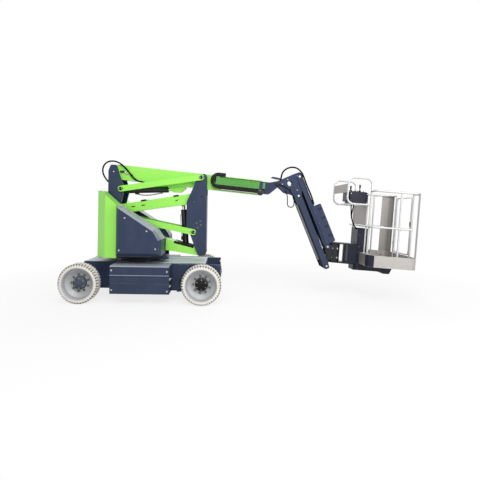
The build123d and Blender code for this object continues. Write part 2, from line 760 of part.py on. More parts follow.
# Inner boom: a smaller box that slides in the outer one and ends in a narrow nose
inner_start = 1100
nose_u = 2395
nose_half = 58
nose_sheet = 20
level_u = 2514
level_v = 41
with BuildPart() as boom_inner:
    slab(boom_frame, [(inner_start, inner_bottom), (nose_u, inner_bottom), (nose_u, inner_top), (inner_start, inner_top)],
         -inner_half, inner_half)
    slab(boom_frame, [(inner_start - 5, inner_bottom + boom_wall), (nose_u - 60, inner_bottom + boom_wall),
                      (nose_u - 60, inner_top - boom_wall), (inner_start - 5, inner_top - boom_wall)],
         -inner_half + boom_wall, inner_half - boom_wall, Mode.SUBTRACT)
    wear_pads(inner_start + 5, (boom_cavity[0] + pad_gap, inner_bottom), (inner_top, boom_cavity[1] - pad_gap),
              (inner_half, boom_half - boom_wall - pad_gap))
    for side in (-1, 1):
        low = min(side * nose_half, side * (nose_half - nose_sheet))
        slab(boom_frame, [(nose_u - 5, inner_bottom + 12), (nose_u + 17, inner_bottom + 12), (2532, -4), (2540, 60),
                          (2500, 80), (nose_u - 5, inner_top)], low, low + nose_sheet)
    disc(ground, level_pin, 22, -head_half + head_sheet - 3, head_half - head_sheet + 3)
save(boom_inner, "boom_inner")

# Boom cylinder
with BuildPart() as boom_barrel:
    barrel(boom_cylinder_pin, boom_ear_pin, 690, 46, pin_radius, 60)
save(boom_barrel, "boom_barrel")
with BuildPart() as boom_rod:
    piston(boom_cylinder_pin, boom_ear_pin, 90, 20)
save(boom_rod, "boom_rod")

# Hose beam: a hollow rail along the near side that travels with the inner boom
chain_centre = (-375, 1775)
chain_frame = turned(chain_centre, -boom_slope)
beam_y = (-190, -110)
beam_u = (-33, 672)
beam_v = (-61, 58)
beam_sheet = 4
with BuildPart() as hose_beam:
    panel(chain_frame, (beam_u[0], beam_v[0]), (beam_u[1] - beam_u[0], beam_v[1] - beam_v[0]), *beam_y)
    panel(chain_frame, (beam_u[0] - 5, beam_v[0] + beam_sheet),
          (beam_u[1] - beam_u[0] - 35, beam_v[1] - beam_v[0] - 2 * beam_sheet),
          beam_y[0] + beam_sheet, beam_y[1] - beam_sheet, Mode.SUBTRACT)
    panel(chain_frame, (beam_u[1] - 4, -50), (47, 90), beam_y[0], -inner_half)
save(hose_beam, "hose_beam")

# Cable chain: a bend that travels at half the boom's speed and a run that lies in a tray
chain_y = (-182, -118)
chain_side = 2
chain_outer = 120
chain_inner = 72
chain_pitch = 36
link_gap = 5
run_links = 17
top_links = 3
bend_links = 9
tail_v = (2, 48)
bend_link = chain_pitch - link_gap - 4
bend_reach = sqrt((chain_outer - 0.3) ** 2 - (bend_link / 2) ** 2)
with BuildPart() as chain_bend:
    core = (chain_y[0] + chain_side, chain_y[1] - chain_side)
    with BuildSketch(chain_frame.offset(-core[1])) as outline:
        Circle(chain_outer - 3)
        Circle(chain_inner + 3, mode=Mode.SUBTRACT)
        with Locations((chain_outer, 0)):
            Rectangle(2 * chain_outer, 2 * chain_outer, mode=Mode.SUBTRACT)
    extrude(outline.sketch, amount=core[1] - core[0])
    panel(chain_frame, (-1, chain_inner + 3), (top_links * chain_pitch, chain_outer - chain_inner - 6), *core)
    panel(chain_frame, (-chain_inner - 8, tail_v[0]), (600, tail_v[1] - tail_v[0]), *core)
    for k in range(top_links):
        panel(chain_frame, (k * chain_pitch, chain_inner), (chain_pitch - link_gap, chain_outer - chain_inner), *chain_y)
    with BuildSketch(chain_frame.offset(-chain_y[1])) as links:
        with PolarLocations((bend_reach + chain_inner) / 2, bend_links, 100, 160, endpoint=True):
            Rectangle(bend_reach - chain_inner, bend_link)
    extrude(links.sketch, amount=chain_y[1] - chain_y[0])
save(chain_bend, "chain_bend")
with BuildPart() as chain_run:
    panel(chain_frame, (1, -chain_outer + 3), (run_links * chain_pitch, chain_outer - chain_inner - 6), *core)
    for k in range(run_links):
        panel(chain_frame, (k * chain_pitch + link_gap, -chain_outer), (chain_pitch - link_gap, chain_outer - chain_inner), *chain_y)
save(chain_run, "chain_run")
with BuildPart() as chain_tray:
    panel(chain_frame, (40, -chain_outer - 14), (590, 14), beam_y[0], -boom_half)
    run_end = run_links * chain_pitch + 1.3
    panel(chain_frame, (run_end, -chain_outer - 14), (46, 68), beam_y[0], -boom_half)
    disc(chain_frame, (run_end + 44, -chain_outer + 8), 44, beam_y[0], -boom_half)
save(chain_tray, "chain_tray")

# Head bracket: two plates that stay level and carry the jib
link_pin_a = (jib_low_pin[0] + jib_pin_step[0], jib_low_pin[1] + jib_pin_step[1])
jib_tip = along(jib_low_pin, -jib_slope, jib_length)
link_tip = along(link_pin_a, -jib_slope, jib_length)
with BuildPart() as head_bracket:
    for side in (-1, 1):
        low = min(side * head_half, side * (head_half - head_sheet))
        with BuildSketch(ground.offset(-low - head_sheet)) as outline:
            with BuildLine():
                FilletPolyline(
                    (498, 1768),
                    (793, 1900),
                    (878, 1930),
                    (930, 1870),
                    (908, 1540),
                    (868, 1508),
                    (770, 1580),
                    (656, 1605),
                    (550, 1700),
                    radius=(30, 40, 30, 40, 34, 30, 40, 40, 40),
                    close=True,
                )
            make_face()
        extrude(outline.sketch, amount=head_sheet)
        disc(ground, level_pin, 22 + running, low - 1, low + head_sheet + 1, Mode.SUBTRACT)
        disc(ground, (732, 1752), 42, low - 1, low + head_sheet + 1, Mode.SUBTRACT)
        disc(ground, (730, 1662), 16, low - 1, low + head_sheet + 1, Mode.SUBTRACT)
    for pin in (jib_low_pin, link_pin_a):
        for low in (-jib_half, head_half - head_sheet):
            disc(ground, pin, 20, low, low + jib_half - head_half + head_sheet)
    disc(ground, jib_barrel_pin, 20, -head_half + head_sheet, head_half - head_sheet)
save(head_bracket, "head_bracket")

# Jib arm and jib link: two channels that keep the platform level
arm_across = (-67, 41)
link_across = (-41, 39)
web_start = 120
jib_ear_inner = 48
arm_web_end = 1040
for name, start, tip, across, web_low in (
    ("jib_arm", jib_low_pin, jib_tip, arm_across, arm_across[0]),
    ("jib_link", link_pin_a, link_tip, link_across, link_across[1] - jib_sheet),
):
    jib_frame = turned(start, -jib_slope)
    with BuildPart() as channel:
        for side in (-1, 1):
            low = min(side * jib_half, side * (jib_half - jib_sheet))
            slab(jib_frame, [(-38, across[0] + 20), (0, across[0]), (jib_length, across[0]), (jib_length + 44, across[0] + 40),
                             (jib_length + 40, across[1] - 12), (jib_length, across[1]), (-38, across[1])],
                 low, low + jib_sheet)
            for pin in (0, jib_length):
                disc(jib_frame, (pin, 0), 20 + running, low - 1, low + jib_sheet + 1, Mode.SUBTRACT)
        panel(jib_frame, (web_start, web_low), (arm_web_end - web_start, jib_sheet), -jib_half + jib_sheet, jib_half - jib_sheet)
        if name == "jib_arm":
            for side in (-1, 1):
                low = min(side * jib_ear_inner, side * (jib_half - jib_sheet))
                disc(jib_frame, (jib_rod_along, jib_rod_across), 18, low, low + jib_half - jib_sheet - jib_ear_inner)
                low = min(side * jib_ear_inner, side * (jib_ear_inner + 9))
                slab(jib_frame, [(900, arm_across[0] + 4), (1035, arm_across[0] + 4), (1046, 30), (1022, 54), (996, 44)],
                     low, low + 9)
        if name == "jib_link":
            slab(jib_frame, [(499, -10), (1120, -10), (1120, 145), (499, 145)], -jib_half - 10, -jib_half - 4, Mode.ADD, 22)
            for k in range(4):
                for across_guard in (84, 116):
                    pill(jib_frame, (560 + 145 * k, across_guard), (590 + 145 * k, across_guard), 7,
                         -jib_half - 11, -jib_half - 3, Mode.SUBTRACT)
            for along_link in (560, 1060):
                disc(jib_frame, (along_link, 14), 12, -jib_half - 4, -jib_half)
    save(channel, name)

# Jib cylinder between the two channels
jib_eye = along(jib_low_pin, -jib_slope, jib_rod_along, jib_rod_across)
with BuildPart() as jib_barrel:
    barrel(jib_barrel_pin, jib_eye, 800, 36, 20, 56)
save(jib_barrel, "jib_barrel")
with BuildPart() as jib_rod:
    piston(jib_barrel_pin, jib_eye, 640, 18)
save(jib_rod, "jib_rod")

# Rotator: the casting at the foot of the jib, leaning with the platform
platform_side = turned(rotator, -platform_tilt)
tilt = radians(platform_tilt)
platform_plan = Plane(origin=(rotator[0], 0, rotator[1]), x_dir=(cos(tilt), 0, -sin(tilt)), z_dir=(sin(tilt), 0, cos(tilt)))
casting_v = (-140, 130)
bracket_half = 82
bracket_sheet = 20
shaft_radius = 30


def upright_disc(centre, radius, low, high, mode=Mode.ADD):
    """Extrude a circle along the platform's upright direction."""
    with BuildSketch(platform_plan.offset(low)) as outline:
        with Locations(centre):
            Circle(radius)
    extrude(outline.sketch, amount=high - low, mode=mode)


def plan_slab(points, low, high, mode=Mode.ADD):
    """Extrude an outline drawn on the platform's floor plane."""
    with BuildSketch(platform_plan.offset(low)) as outline:
        Polygon(*points, align=None)
    extrude(outline.sketch, amount=high - low, mode=mode)


with BuildPart() as jib_bracket:
    upright_disc((0, 0), rotator_radius, *casting_v)
    for side in (-1, 1):
        low = min(side * bracket_half, side * (bracket_half - bracket_sheet))
        slab(ground, [(1272, 470), (1308, 446), (1340, 468), (1340, 580), (1400, 580), (1400, 812), (1340, 822),
                      (1318, 824), (1283, 806), (1290, 720), (1312, 668), (1312, 590), (1276, 520)],
             low, low + bracket_sheet)
        low = min(side * (bracket_half - bracket_sheet), side * jib_half)
        for pin in (jib_tip, link_tip):
            disc(ground, pin, 20, low, low + jib_half - bracket_half + bracket_sheet)
    upright_disc((0, 0), shaft_radius, casting_v[0] - 22, casting_v[1] + 22)
save(jib_bracket, "jib_bracket")

# Platform support: a clevis on the rotator, a post and the arm under the floor
with BuildPart() as platform_support:
    for low, high in ((casting_v[1] + 2, casting_v[1] + 20), (casting_v[0] - 20, casting_v[0] - 2)):
        upright_disc((0, 0), 92, low, high)
        plan_slab([(0, -92), (270, -130), (270, 130), (0, 92)], low, high)
        upright_disc((0, 0), shaft_radius + running, low - 1, high + 1, Mode.SUBTRACT)
    plan_slab([(175, -126), (300, -146), (300, 146), (175, 126)], casting_v[0] - 2, casting_v[1] + 2)
    upright_disc((60, 0), 140, casting_v[0] - 2, casting_v[1] + 2, Mode.SUBTRACT)
    upright_disc((0, 0), shaft_radius + 30, casting_v[0] - 2, casting_v[1] + 2, Mode.SUBTRACT)
    plan_slab([(300, -post_half), (post_u[1], -post_half), (post_u[1], post_half), (300, post_half)], post_v[0], post_v[1])
    plan_slab([(312, -post_half + 8), (post_u[1] - 8, -post_half + 8), (post_u[1] - 8, post_half - 8), (312, post_half - 8)],
              floor_v + 8, post_v[1] + 5, Mode.SUBTRACT)
    slab(platform_side, [(281, -242), (730, -242), (743, -268), (843, -268), (891, -152), (891, toe_v[0]), (475, toe_v[0]), (281, toe_v[0])],
         -110, 110)
save(platform_support, "platform_support")

# Platform floor: a floor plate and a toe board with round corners, notched around the post
toe_sheet = 5
notch_u = 490
notch_half = 160
platform_middle = (platform_u[0] + platform_u[1]) / 2
platform_length = platform_u[1] - platform_u[0]


def platform_ring(inset, low, high, mode=Mode.ADD):
    """Extrude the platform's rounded outline, moved inwards by an inset."""
    with BuildSketch(platform_plan.offset(low)) as outline:
        with Locations((platform_middle, 0)):
            RectangleRounded(platform_length - 2 * inset, 2 * (platform_half - inset), platform_corner - inset)
    extrude(outline.sketch, amount=high - low, mode=mode)


with BuildPart() as platform_floor:
    platform_ring(0, toe_v[0], toe_v[1])
    platform_ring(toe_sheet, floor_v, toe_v[1] + 5, Mode.SUBTRACT)
    plan_slab([(platform_u[0] + 1, -notch_half - 5), (notch_u + 5, -notch_half - 5), (notch_u + 5, notch_half + 5),
               (platform_u[0] + 1, notch_half + 5)], toe_v[0] + 2, toe_v[1])
    plan_slab([(platform_u[0] - 5, -notch_half), (notch_u, -notch_half), (notch_u, notch_half),
               (platform_u[0] - 5, notch_half)], toe_v[0] - 1, toe_v[1] + 5, Mode.SUBTRACT)
save(platform_floor, "platform_floor")

# Platform rails: round tubes, sheet corner posts and the two hoops around the controls
rail_in = rail_radius + 4.3
gate_half = 290
gate_post = 15
near_post_u = 764
leg_u = hoop_u[1] - rail_radius


def rail(plane, points, bend, radius=rail_radius):
    """Sweep a round tube along a path drawn on a plane."""
    with BuildLine(plane) as path:
        if bend:
            FilletPolyline(*points, radius=bend)
        else:
            Polyline(*points)
    with BuildSketch(Plane(origin=path.line @ 0, z_dir=path.line % 0)) as section:
        Circle(radius)
    sweep(sections=section.sketch, path=path.line)


def post(centre, radius, low, high):
    """Stand a round post on the platform."""
    upright_disc(centre, radius, low, high)


side_y = platform_half - rail_in
end_u = platform_u[1] - rail_in
left_u = platform_u[0] + rail_in
hoop_radius = 14
mid_rail_end = platform_u[1] - platform_corner - 2
rail_centre = rail_v - rail_radius
with BuildPart() as platform_rails:
    for side in (-1, 1):
        rail(platform_plan.offset(rail_centre),
             [(leg_u, side * (hoop_half + 9)), (leg_u, side * side_y), (end_u, side * side_y), (end_u, side * (gate_half + 8))],
             platform_corner - rail_in)
        post((near_post_u, side * side_y), 13, floor_v, rail_centre)
        post((end_u, side * gate_half), gate_post, floor_v, rail_centre)
        hoop_plane = platform_side.offset(side * hoop_half)
        rail(hoop_plane,
             [(leg_u, floor_v), (leg_u, hoop_v[1]), (hoop_u[0], hoop_v[1]), (hoop_u[0], hoop_v[0]),
              (leg_u - hoop_radius - 1, hoop_v[0])],
             90, hoop_radius)
        rail(hoop_plane, [(leg_u - 60, hoop_v[0]), (leg_u, hoop_v[0])], 0, hoop_radius - 3)
        post((left_u, side * 300), 11, floor_v, hoop_v[0])
    rail(platform_plan.offset(mid_rail_v),
         [(mid_rail_end, -side_y), (left_u, -side_y), (left_u, side_y), (mid_rail_end, side_y)],
         platform_corner - rail_in, 14)
    for u in (120, left_u):
        rail_pole = [platform_plan.from_local_coords(Vector(u, side * hoop_half, hoop_v[0])) for side in (-1, 1)]
        rod(tuple(rail_pole[0]), tuple(rail_pole[1]), 13)
save(platform_rails, "platform_rails")

# Sheet posts at the two corners of the gate side
post_sheet = 4
near_post_width = 60
far_post_width = 160
with BuildPart() as corner_posts:
    platform_ring(0, toe_v[1], rail_v - 8)
    platform_ring(post_sheet, toe_v[1] - 5, rail_v, Mode.SUBTRACT)
    plan_slab([(0, -600), (platform_u[1] - near_post_width, -600), (platform_u[1] - near_post_width, -420),
               (1200, -420), (1200, 420), (platform_u[1] - far_post_width, 420), (platform_u[1] - far_post_width, 600), (0, 600)],
              toe_v[1] - 5, rail_v, Mode.SUBTRACT)
save(corner_posts, "corner_posts")

# Back sheet behind the controls, and the plate between the hoops
with BuildPart() as back_sheet:
    plan_slab([(left_u - 2, -286), (left_u + 2, -286), (left_u + 2, 286), (left_u - 2, 286)],
              mid_rail_v + 14, hoop_v[0] - 13)
save(back_sheet, "back_sheet")
with BuildPart() as hoop_plate:
    plate_half = hoop_half - hoop_radius - 0.4
    plan_slab([(hoop_u[0] - 2, -plate_half), (hoop_u[0] + 2, -plate_half), (hoop_u[0] + 2, plate_half),
               (hoop_u[0] - 2, plate_half)], 920, 1050)
save(hoop_plate, "hoop_plate")

# Control box on the two cross rails, with its levers
shelf_v = hoop_v[0] + 13
with BuildPart() as control_box:
    slab(platform_side, [(104, shelf_v), (374, shelf_v), (374, 930), (340, 948), (110, 948), (104, 940)], -270, -20)
    slab(platform_side, [(56, 790), (106, 790), (106, 932), (56, 932)], -230, -60)
    for u, top in ((144, 1034), (281, 1061)):
        foot = platform_plan.from_local_coords(Vector(u, -150, 940))
        head = platform_plan.from_local_coords(Vector(u, -150, top))
        grip = platform_plan.from_local_coords(Vector(u, -150, top - 50))
        rod(tuple(foot), tuple(head), 7)
        rod(tuple(grip), tuple(head), 13)
save(control_box, "control_box")

# Gate: a light frame that swings inwards on the far gate post
gate_tube = 12
gate_end = -gate_half + gate_post + gate_tube + 10
gate_start = gate_half - gate_post - gate_tube - 8
gate_corner = platform_plan.from_local_coords(Vector(end_u, 0, 0))
gate_frame = Plane(origin=gate_corner, x_dir=(0, 1, 0), z_dir=platform_plan.x_dir)
with BuildPart() as gate:
    with BuildLine(gate_frame) as path:
        FilletPolyline((gate_end, 60), (gate_start, 60), (gate_start, rail_centre - 40), (gate_end, rail_centre - 40),
                       radius=50, close=True)
    with BuildSketch(Plane(origin=path.line @ 0, z_dir=path.line % 0)) as section:
        Circle(gate_tube)
    sweep(sections=section.sketch, path=path.line)
    for v in (mid_rail_v,):
        ends = [platform_plan.from_local_coords(Vector(end_u, y, v)) for y in (gate_end, gate_start)]
        rod(tuple(ends[0]), tuple(ends[1]), gate_tube - 2)
    for v in (180, 700):
        plan_slab([(end_u - 9, gate_start), (end_u + 9, gate_start), (end_u + 9, gate_half), (end_u - 9, gate_half)], v, v + 40)
        upright_disc((end_u, gate_half), gate_post + 7, v, v + 40)
        upright_disc((end_u, gate_half), gate_post + running, v - 1, v + 41, Mode.SUBTRACT)
save(gate, "gate")

# Hoses: each runs from a fitting on one piece into another
hose_radius = 12
thin_hose_radius = 9
loop_radius = 7
rear_route = [
    (-2055.4, -60, 1716),
    (-2102, -60, 1764),
    (-2142, -60, 1820),
    (-2166, -65, 1886),
    (-2160, -77, 1956),
    (-2122, -95, 2014),
    (-2062, -111, 2048),
    (-1990, -121, 2054),
    (-1920, -126, 2038),
    (-1856, -127, 2000),
    (-1800, -126, 1950),
    (-1750, -124, 1892),
    (-1704, -123, 1832),
    (-1652, -122, 1776),
    (-1586, -118, 1742),
    (-1510, -112.6, 1734),
]
jib_route = [
    (586, -97.6, 1800),
    (590, -106, 1872),
    (622, -112, 1940),
    (686, -116, 1985),
    (764, -118, 2002),
    (842, -118, 1980),
    (902, -118, 1922),
    (938, -119, 1844),
    (968, -120, 1758),
    (1004, -122, 1674),
    (1042, -122, 1592),
    (1072, -120, 1510),
    (1096, -112.6, 1430),
]
loop_route = [
    (562, -92.4, 1726),
    (612, -106, 1714),
    (662, -115, 1690),
    (708, -121, 1654),
    (746, -123, 1608),
    (773, -124, 1554),
    (787, -124, 1496),
    (788, -124, 1452),
    (786, -124, 1412),
    (759, -124, 1384),
    (718, -124, 1384),
    (689, -124, 1413),
    (686, -121, 1462),
    (690, -116, 1512),
    (686, -108, 1562),
    (672, -98, 1604),
    (650, -92.6, 1640),
]
near_route = [
    (1644, -186, 1458),
    (1644, -184, 1412),
    (1648, -178, 1352),
    (1652, -166, 1290),
    (1664, -150, 1228),
    (1688, -136, 1170),
    (1716, -124, 1112),
    (1757, -116, 1066),
]
far_route = [
    (1692, -160, 1455),
    (1688, -158, 1410),
    (1678, -150, 1352),
    (1668, -136, 1290),
    (1676, -116, 1228),
    (1698, -98, 1170),
    (1720, -88, 1112),
    (1757.5, -84, 1070),
]
for name, route, radius in (
    ("rear_hose", rear_route, hose_radius),
    ("jib_hose", jib_route, hose_radius),
    ("hose_loop", loop_route, loop_radius),
    ("platform_hose_near", near_route, thin_hose_radius),
    ("platform_hose_far", far_route, thin_hose_radius),
):
    with BuildPart() as line:
        hose(route, radius)
    save(line, name)
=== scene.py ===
"""Finishes and small pieces of an articulated boom lift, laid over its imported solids."""

import math

import bmesh
import bpy
from mathutils import Matrix, Vector


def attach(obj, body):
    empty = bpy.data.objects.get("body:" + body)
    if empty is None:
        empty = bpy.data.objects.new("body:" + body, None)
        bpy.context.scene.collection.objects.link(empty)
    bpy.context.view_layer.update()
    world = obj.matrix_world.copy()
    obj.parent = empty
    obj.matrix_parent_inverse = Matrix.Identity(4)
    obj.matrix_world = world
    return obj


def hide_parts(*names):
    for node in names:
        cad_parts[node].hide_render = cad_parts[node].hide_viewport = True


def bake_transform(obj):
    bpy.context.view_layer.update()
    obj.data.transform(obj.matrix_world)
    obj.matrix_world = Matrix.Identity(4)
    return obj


bl_info = {
    "name": "Boom Lift Dressing",
    "version": (1, 0, 0),
    "blender": (4, 5, 0),
    "location": "View3D > Sidebar > Boom Lift",
    "description": "Paints, fasteners, hoses and stage for an articulated boom lift",
    "category": "Object",
}

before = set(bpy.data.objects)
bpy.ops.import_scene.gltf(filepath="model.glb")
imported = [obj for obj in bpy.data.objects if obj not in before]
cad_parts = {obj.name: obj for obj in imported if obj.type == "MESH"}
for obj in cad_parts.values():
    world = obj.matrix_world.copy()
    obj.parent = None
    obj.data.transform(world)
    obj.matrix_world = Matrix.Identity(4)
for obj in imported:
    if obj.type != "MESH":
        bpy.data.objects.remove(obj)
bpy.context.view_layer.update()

MATERIALS = {}
BOTH = (-1, 1)

# Gaps that lift a piece off the face it sits on
SKIN = 0.0002
SEAM_SKIN = 0.0003

# Angles in degrees past which a smooth piece keeps a sharp edge
PIECE_ANGLE = 35
HOSE_ANGLE = 50

# Wheels: name, x of the axle, side and the hub cover's finish
WHEELS = (
    ("steer_near", -2.287, -1, "Slate hub"),
    ("steer_far", -2.287, 1, "Slate hub"),
    ("drive_near", -0.582, -1, "Chain plastic"),
    ("drive_far", -0.582, 1, "Chain plastic"),
)
DISH_FACE = 0.632
TYRE_RADIUS = 0.2795
TYRE_INNER = 0.572
TYRE_WIDTH = 0.178
# Half of the tread's section: distance from its edge, and depth on a lug and in a slot
TREAD_STATIONS = (
    (0.0, 0.0538, 0.0538), (0.0, 0.016, 0.030), (0.003, 0.007, 0.024), (0.010, 0.0015, 0.017),
    (0.020, 0.0, 0.014), (0.056, 0.0, 0.012), (0.060, 0.0, 0.0), (0.089, 0.0, 0.0))
# Places round one lug's pitch: the slot reaches from the last of them to the next pitch
LUG_PHASES = (0.0, 0.02, 0.12, 0.14, 0.50, 0.52, 0.62, 0.64)
SLOT_PHASE = 0.63
# Depth past which a face of the tread takes the darker colour of painted shade in the slots
SLOT_DEPTH = 0.011

# Members that lean: the x and z of their near pin and their slope in degrees
LOWER_ARM = ((-1.825, 0.920), -11.3)
LOWER_LINK = ((-1.954, 1.227), -11.3)
UPPER_ARM = ((-1.9633, 1.3072), 8.85)
UPPER_LINK = ((-1.8503, 1.6282), 8.85)
ARM_LENGTH = 1.234
BOOM = ((-1.966, 1.945), -5.5)
CHAIN = ((-0.375, 1.775), -5.5)
JIB = ((0.863, 1.561), -67.5)
JIB_LINK = ((0.875, 1.858), -67.5)
JIB_LENGTH = 1.162
PLATFORM = ((1.440, 0.700), -3.7)

# How far flat faces stand from the middle plane
LINK_FACE = 0.205
ARM_FACE = 0.148
MAST_FACE = 0.175
JIB_FACE = 0.100
GUARD_FACE = 0.110
BOOM_FACE = 0.100
BEAM_FACE = 0.190
HEAD_FACE = 0.085
PANEL_FACE = 0.650
BOX_FACE = 0.720
TAIL_FACE = 0.550
PLATFORM_FACE = 0.545
POST_FACE = 0.150

# Slew ring: its axle, its circle of bolts and its top
RING_X = -1.56
RING_CIRCLE = 0.285
RING_TOP = 0.5802

# Heights: the deck's lips, and across the leaning platform its floor and its control box
DECK_LIP = 0.5405
FLOOR_TOP = -0.1178
CONTROL_TOP = 0.9483
PLATE_TOP = 0.9500

# Pieces with sizes in common
KEEPER_SHEET = 0.0115
ROTATOR_RADIUS = 0.0853
POST_U = 0.764
POST_Y = 0.5247
GATE_U = 1.0447
CONTROL_FACE = 0.270
COLLAR_PROFILE = ((0, 0.0138), (0.002, 0.0160), (0.006, 0.0160), (0.008, 0.0138))
SWITCH_ROW = (-0.085, -0.150, -0.215)
LATCH_HANDLE = (
    (-1.018, 0.655, 0.010), (-1.004, 0.668, 0.016), (-1.004, 0.690, 0.016), (-1.016, 0.700, 0.010))
KEEPER = ((-0.042, 0), (-0.012, 0.026), (0.012, 0.026), (0.042, 0), (0.012, -0.026), (-0.012, -0.026))
MAST_FOLDS = (
    ((-0.791, 1.049), (-0.791, 1.413)),
    ((-0.657, 1.745), (-0.702, 1.599), (-0.7115, 1.560)),
    ((-0.765, 0.905), (-0.690, 0.700)))
NOSE = (
    (0.441, 1.840), (0.466, 1.852), (0.554, 1.835), (0.600, 1.826), (0.600, 1.812), (0.548, 1.818),
    (0.470, 1.836))

# Hoses: name, radius, body, a second body (where one is given, the tube is left on neither body), and route
HOSES = (
    ("rear_hose", 0.012, "boom_carrier", "boom_outer", (
        (-2.0554, -0.060, 1.716), (-2.102, -0.060, 1.764), (-2.142, -0.060, 1.820), (-2.166, -0.065, 1.886),
        (-2.160, -0.077, 1.956), (-2.122, -0.095, 2.014), (-2.062, -0.111, 2.048), (-1.990, -0.121, 2.054),
        (-1.920, -0.126, 2.038), (-1.856, -0.127, 2.000), (-1.800, -0.126, 1.950), (-1.750, -0.124, 1.892),
        (-1.704, -0.123, 1.832), (-1.652, -0.122, 1.776), (-1.586, -0.118, 1.742), (-1.510, -0.1126, 1.734))),
    ("jib_hose", 0.012, "head", "jib_link", (
        (0.586, -0.0976, 1.800), (0.590, -0.106, 1.872), (0.622, -0.112, 1.940), (0.686, -0.116, 1.985),
        (0.764, -0.118, 2.002), (0.842, -0.118, 1.980), (0.902, -0.118, 1.922), (0.938, -0.119, 1.844),
        (0.968, -0.120, 1.758), (1.004, -0.122, 1.674), (1.042, -0.122, 1.592), (1.072, -0.120, 1.510),
        (1.096, -0.1126, 1.430))),
    ("hose_loop", 0.007, "head", None, (
        (0.562, -0.0924, 1.726), (0.612, -0.106, 1.714), (0.662, -0.115, 1.690), (0.708, -0.121, 1.654),
        (0.746, -0.123, 1.608), (0.773, -0.124, 1.554), (0.787, -0.124, 1.496), (0.788, -0.124, 1.452),
        (0.786, -0.124, 1.412), (0.759, -0.124, 1.384), (0.718, -0.124, 1.384), (0.689, -0.124, 1.413),
        (0.686, -0.121, 1.462), (0.690, -0.116, 1.512), (0.686, -0.108, 1.562), (0.672, -0.098, 1.604),
        (0.650, -0.0926, 1.640))),
    ("platform_hose_near", 0.009, "platform", None, (
        (1.644, -0.186, 1.458), (1.644, -0.184, 1.412), (1.648, -0.178, 1.352), (1.652, -0.166, 1.290),
        (1.664, -0.150, 1.228), (1.688, -0.136, 1.170), (1.716, -0.124, 1.112), (1.757, -0.116, 1.066))),
    ("platform_hose_far", 0.009, "platform", None, (
        (1.692, -0.160, 1.455), (1.688, -0.158, 1.410), (1.678, -0.150, 1.352), (1.668, -0.136, 1.290),
        (1.676, -0.116, 1.228), (1.698, -0.098, 1.170), (1.720, -0.088, 1.112), (1.7575, -0.084, 1.070))),
)

# Stage
WHITE = (1, 1, 1, 1)
AIM = Vector((0, 0, 0.9))
CAMERA_X = -0.28
CAMERA_SHIFT = (0.033, -0.067)
# Lamps: name, place, share of the key lamp's power, size
LAMPS = (
    ("Key", (-0.3, -5.3, 5.3), 1.0, 3.5),
    ("Fill", (4.2, -3.8, 3.0), 0.5, 4.0),
    ("Back", (0.5, 5.0, 5.0), 0.5, 4.0),
)
WORLD_LIGHT = 0.45
FLOOR_RADIUS = 9
FLOOR_FADE = (2.6, 5.0)
FLOOR_GLOW = 0.80

# Finishes
# Pale tint of the painted highlight that some paints take on upward faces
PAINTED_SHEEN_TINT = (0.62, 0.66, 0.72, 1)
DUST_TINT = (0.45, 0.42, 0.38, 1)
RELIEF = 0.002
BRUSHED = (1, 1, 22)
POST_SHADE = 0.74

NODE_FINISHES = {
    "Green paint": "tail_cover boom_outer upper_arm lower_arm lower_links upper_links",
    "Beam paint": "hose_beam",
    "Navy paint": "turntable mast boom_carrier boom_inner head_bracket jib_arm jib_link",
    "Deck navy with painted sheen": "steer_frame chassis tie_downs",
    "Cover navy with painted sheen": "side_boxes side_panels",
    "Dark navy": "platform_support control_box",
    "Rim paint": "rim_steer_near rim_steer_far rim_drive_near rim_drive_far",
    "Tyre rubber": "tyre_steer_near tyre_steer_far tyre_drive_near tyre_drive_far",
    "Brushed sheet": "platform_floor",
    "Post sheet": "corner_posts back_sheet hoop_plate",
    "Rail paint": "platform_rails gate",
    "Black casting": "steer_axle knuckle_near knuckle_far tie_rod drive_motors slew_ring counterweight "
                     "power_unit chain_tray jib_bracket",
    "Black gloss": "riser_barrel boom_barrel jib_barrel",
    "Chrome rod": "riser_rod boom_rod jib_rod",
    "Chain plastic": "chain_bend chain_run",
    "Hose rubber": "rear_hose jib_hose hose_loop platform_hose_near platform_hose_far",
}


def colour_field(name, description, default):
    """Describe a colour that can be set."""
    return bpy.props.FloatVectorProperty(
        name=name, description=description, subtype="COLOR", size=3, default=default)


def length_field(name, description, default):
    """Describe a length that can be set."""
    return bpy.props.FloatProperty(name=name, description=description, default=default, unit="LENGTH")


class LiftColours(bpy.types.PropertyGroup):
    """Colours of the machine's finishes."""

    paint: colour_field("Paint", "Main green paint", (0.325, 0.84, 0.098))
    beam: colour_field("Hose beam", "Darker green of the hose beam", (0.068, 0.285, 0.038))
    navy: colour_field("Navy", "Navy paint of jib, covers and nose", (0.021, 0.035, 0.078))
    dark_navy: colour_field("Dark navy", "Darker navy of the platform's support", (0.007, 0.010, 0.024))
    rim: colour_field("Rim", "Light grey paint of the rims", (0.45, 0.46, 0.47))
    tyre: colour_field("Tyre", "Non-marking tyre rubber", (0.82, 0.79, 0.73))
    metal: colour_field("Platform sheet", "Brushed aluminium of the platform", (0.46, 0.435, 0.418))
    rail: colour_field("Rails", "Pale rail paint", (0.62, 0.62, 0.61))
    cast: colour_field("Castings", "Black castings and cylinders", (0.014, 0.015, 0.017))


class LiftSizes(bpy.types.PropertyGroup):
    """Sizes of the small pieces."""

    nut_count: bpy.props.IntProperty(
        name="Wheel nuts", description="Nuts on each wheel", default=9, min=4, max=12)
    nut_circle: length_field("Nut circle", "Radius of the circle of wheel nuts", 0.118)
    nut_radius: length_field("Nut radius", "Radius of a wheel nut", 0.012)
    lug_count: bpy.props.IntProperty(
        name="Tread lugs", description="Lugs around each tyre's shoulders", default=44, min=20, max=60)


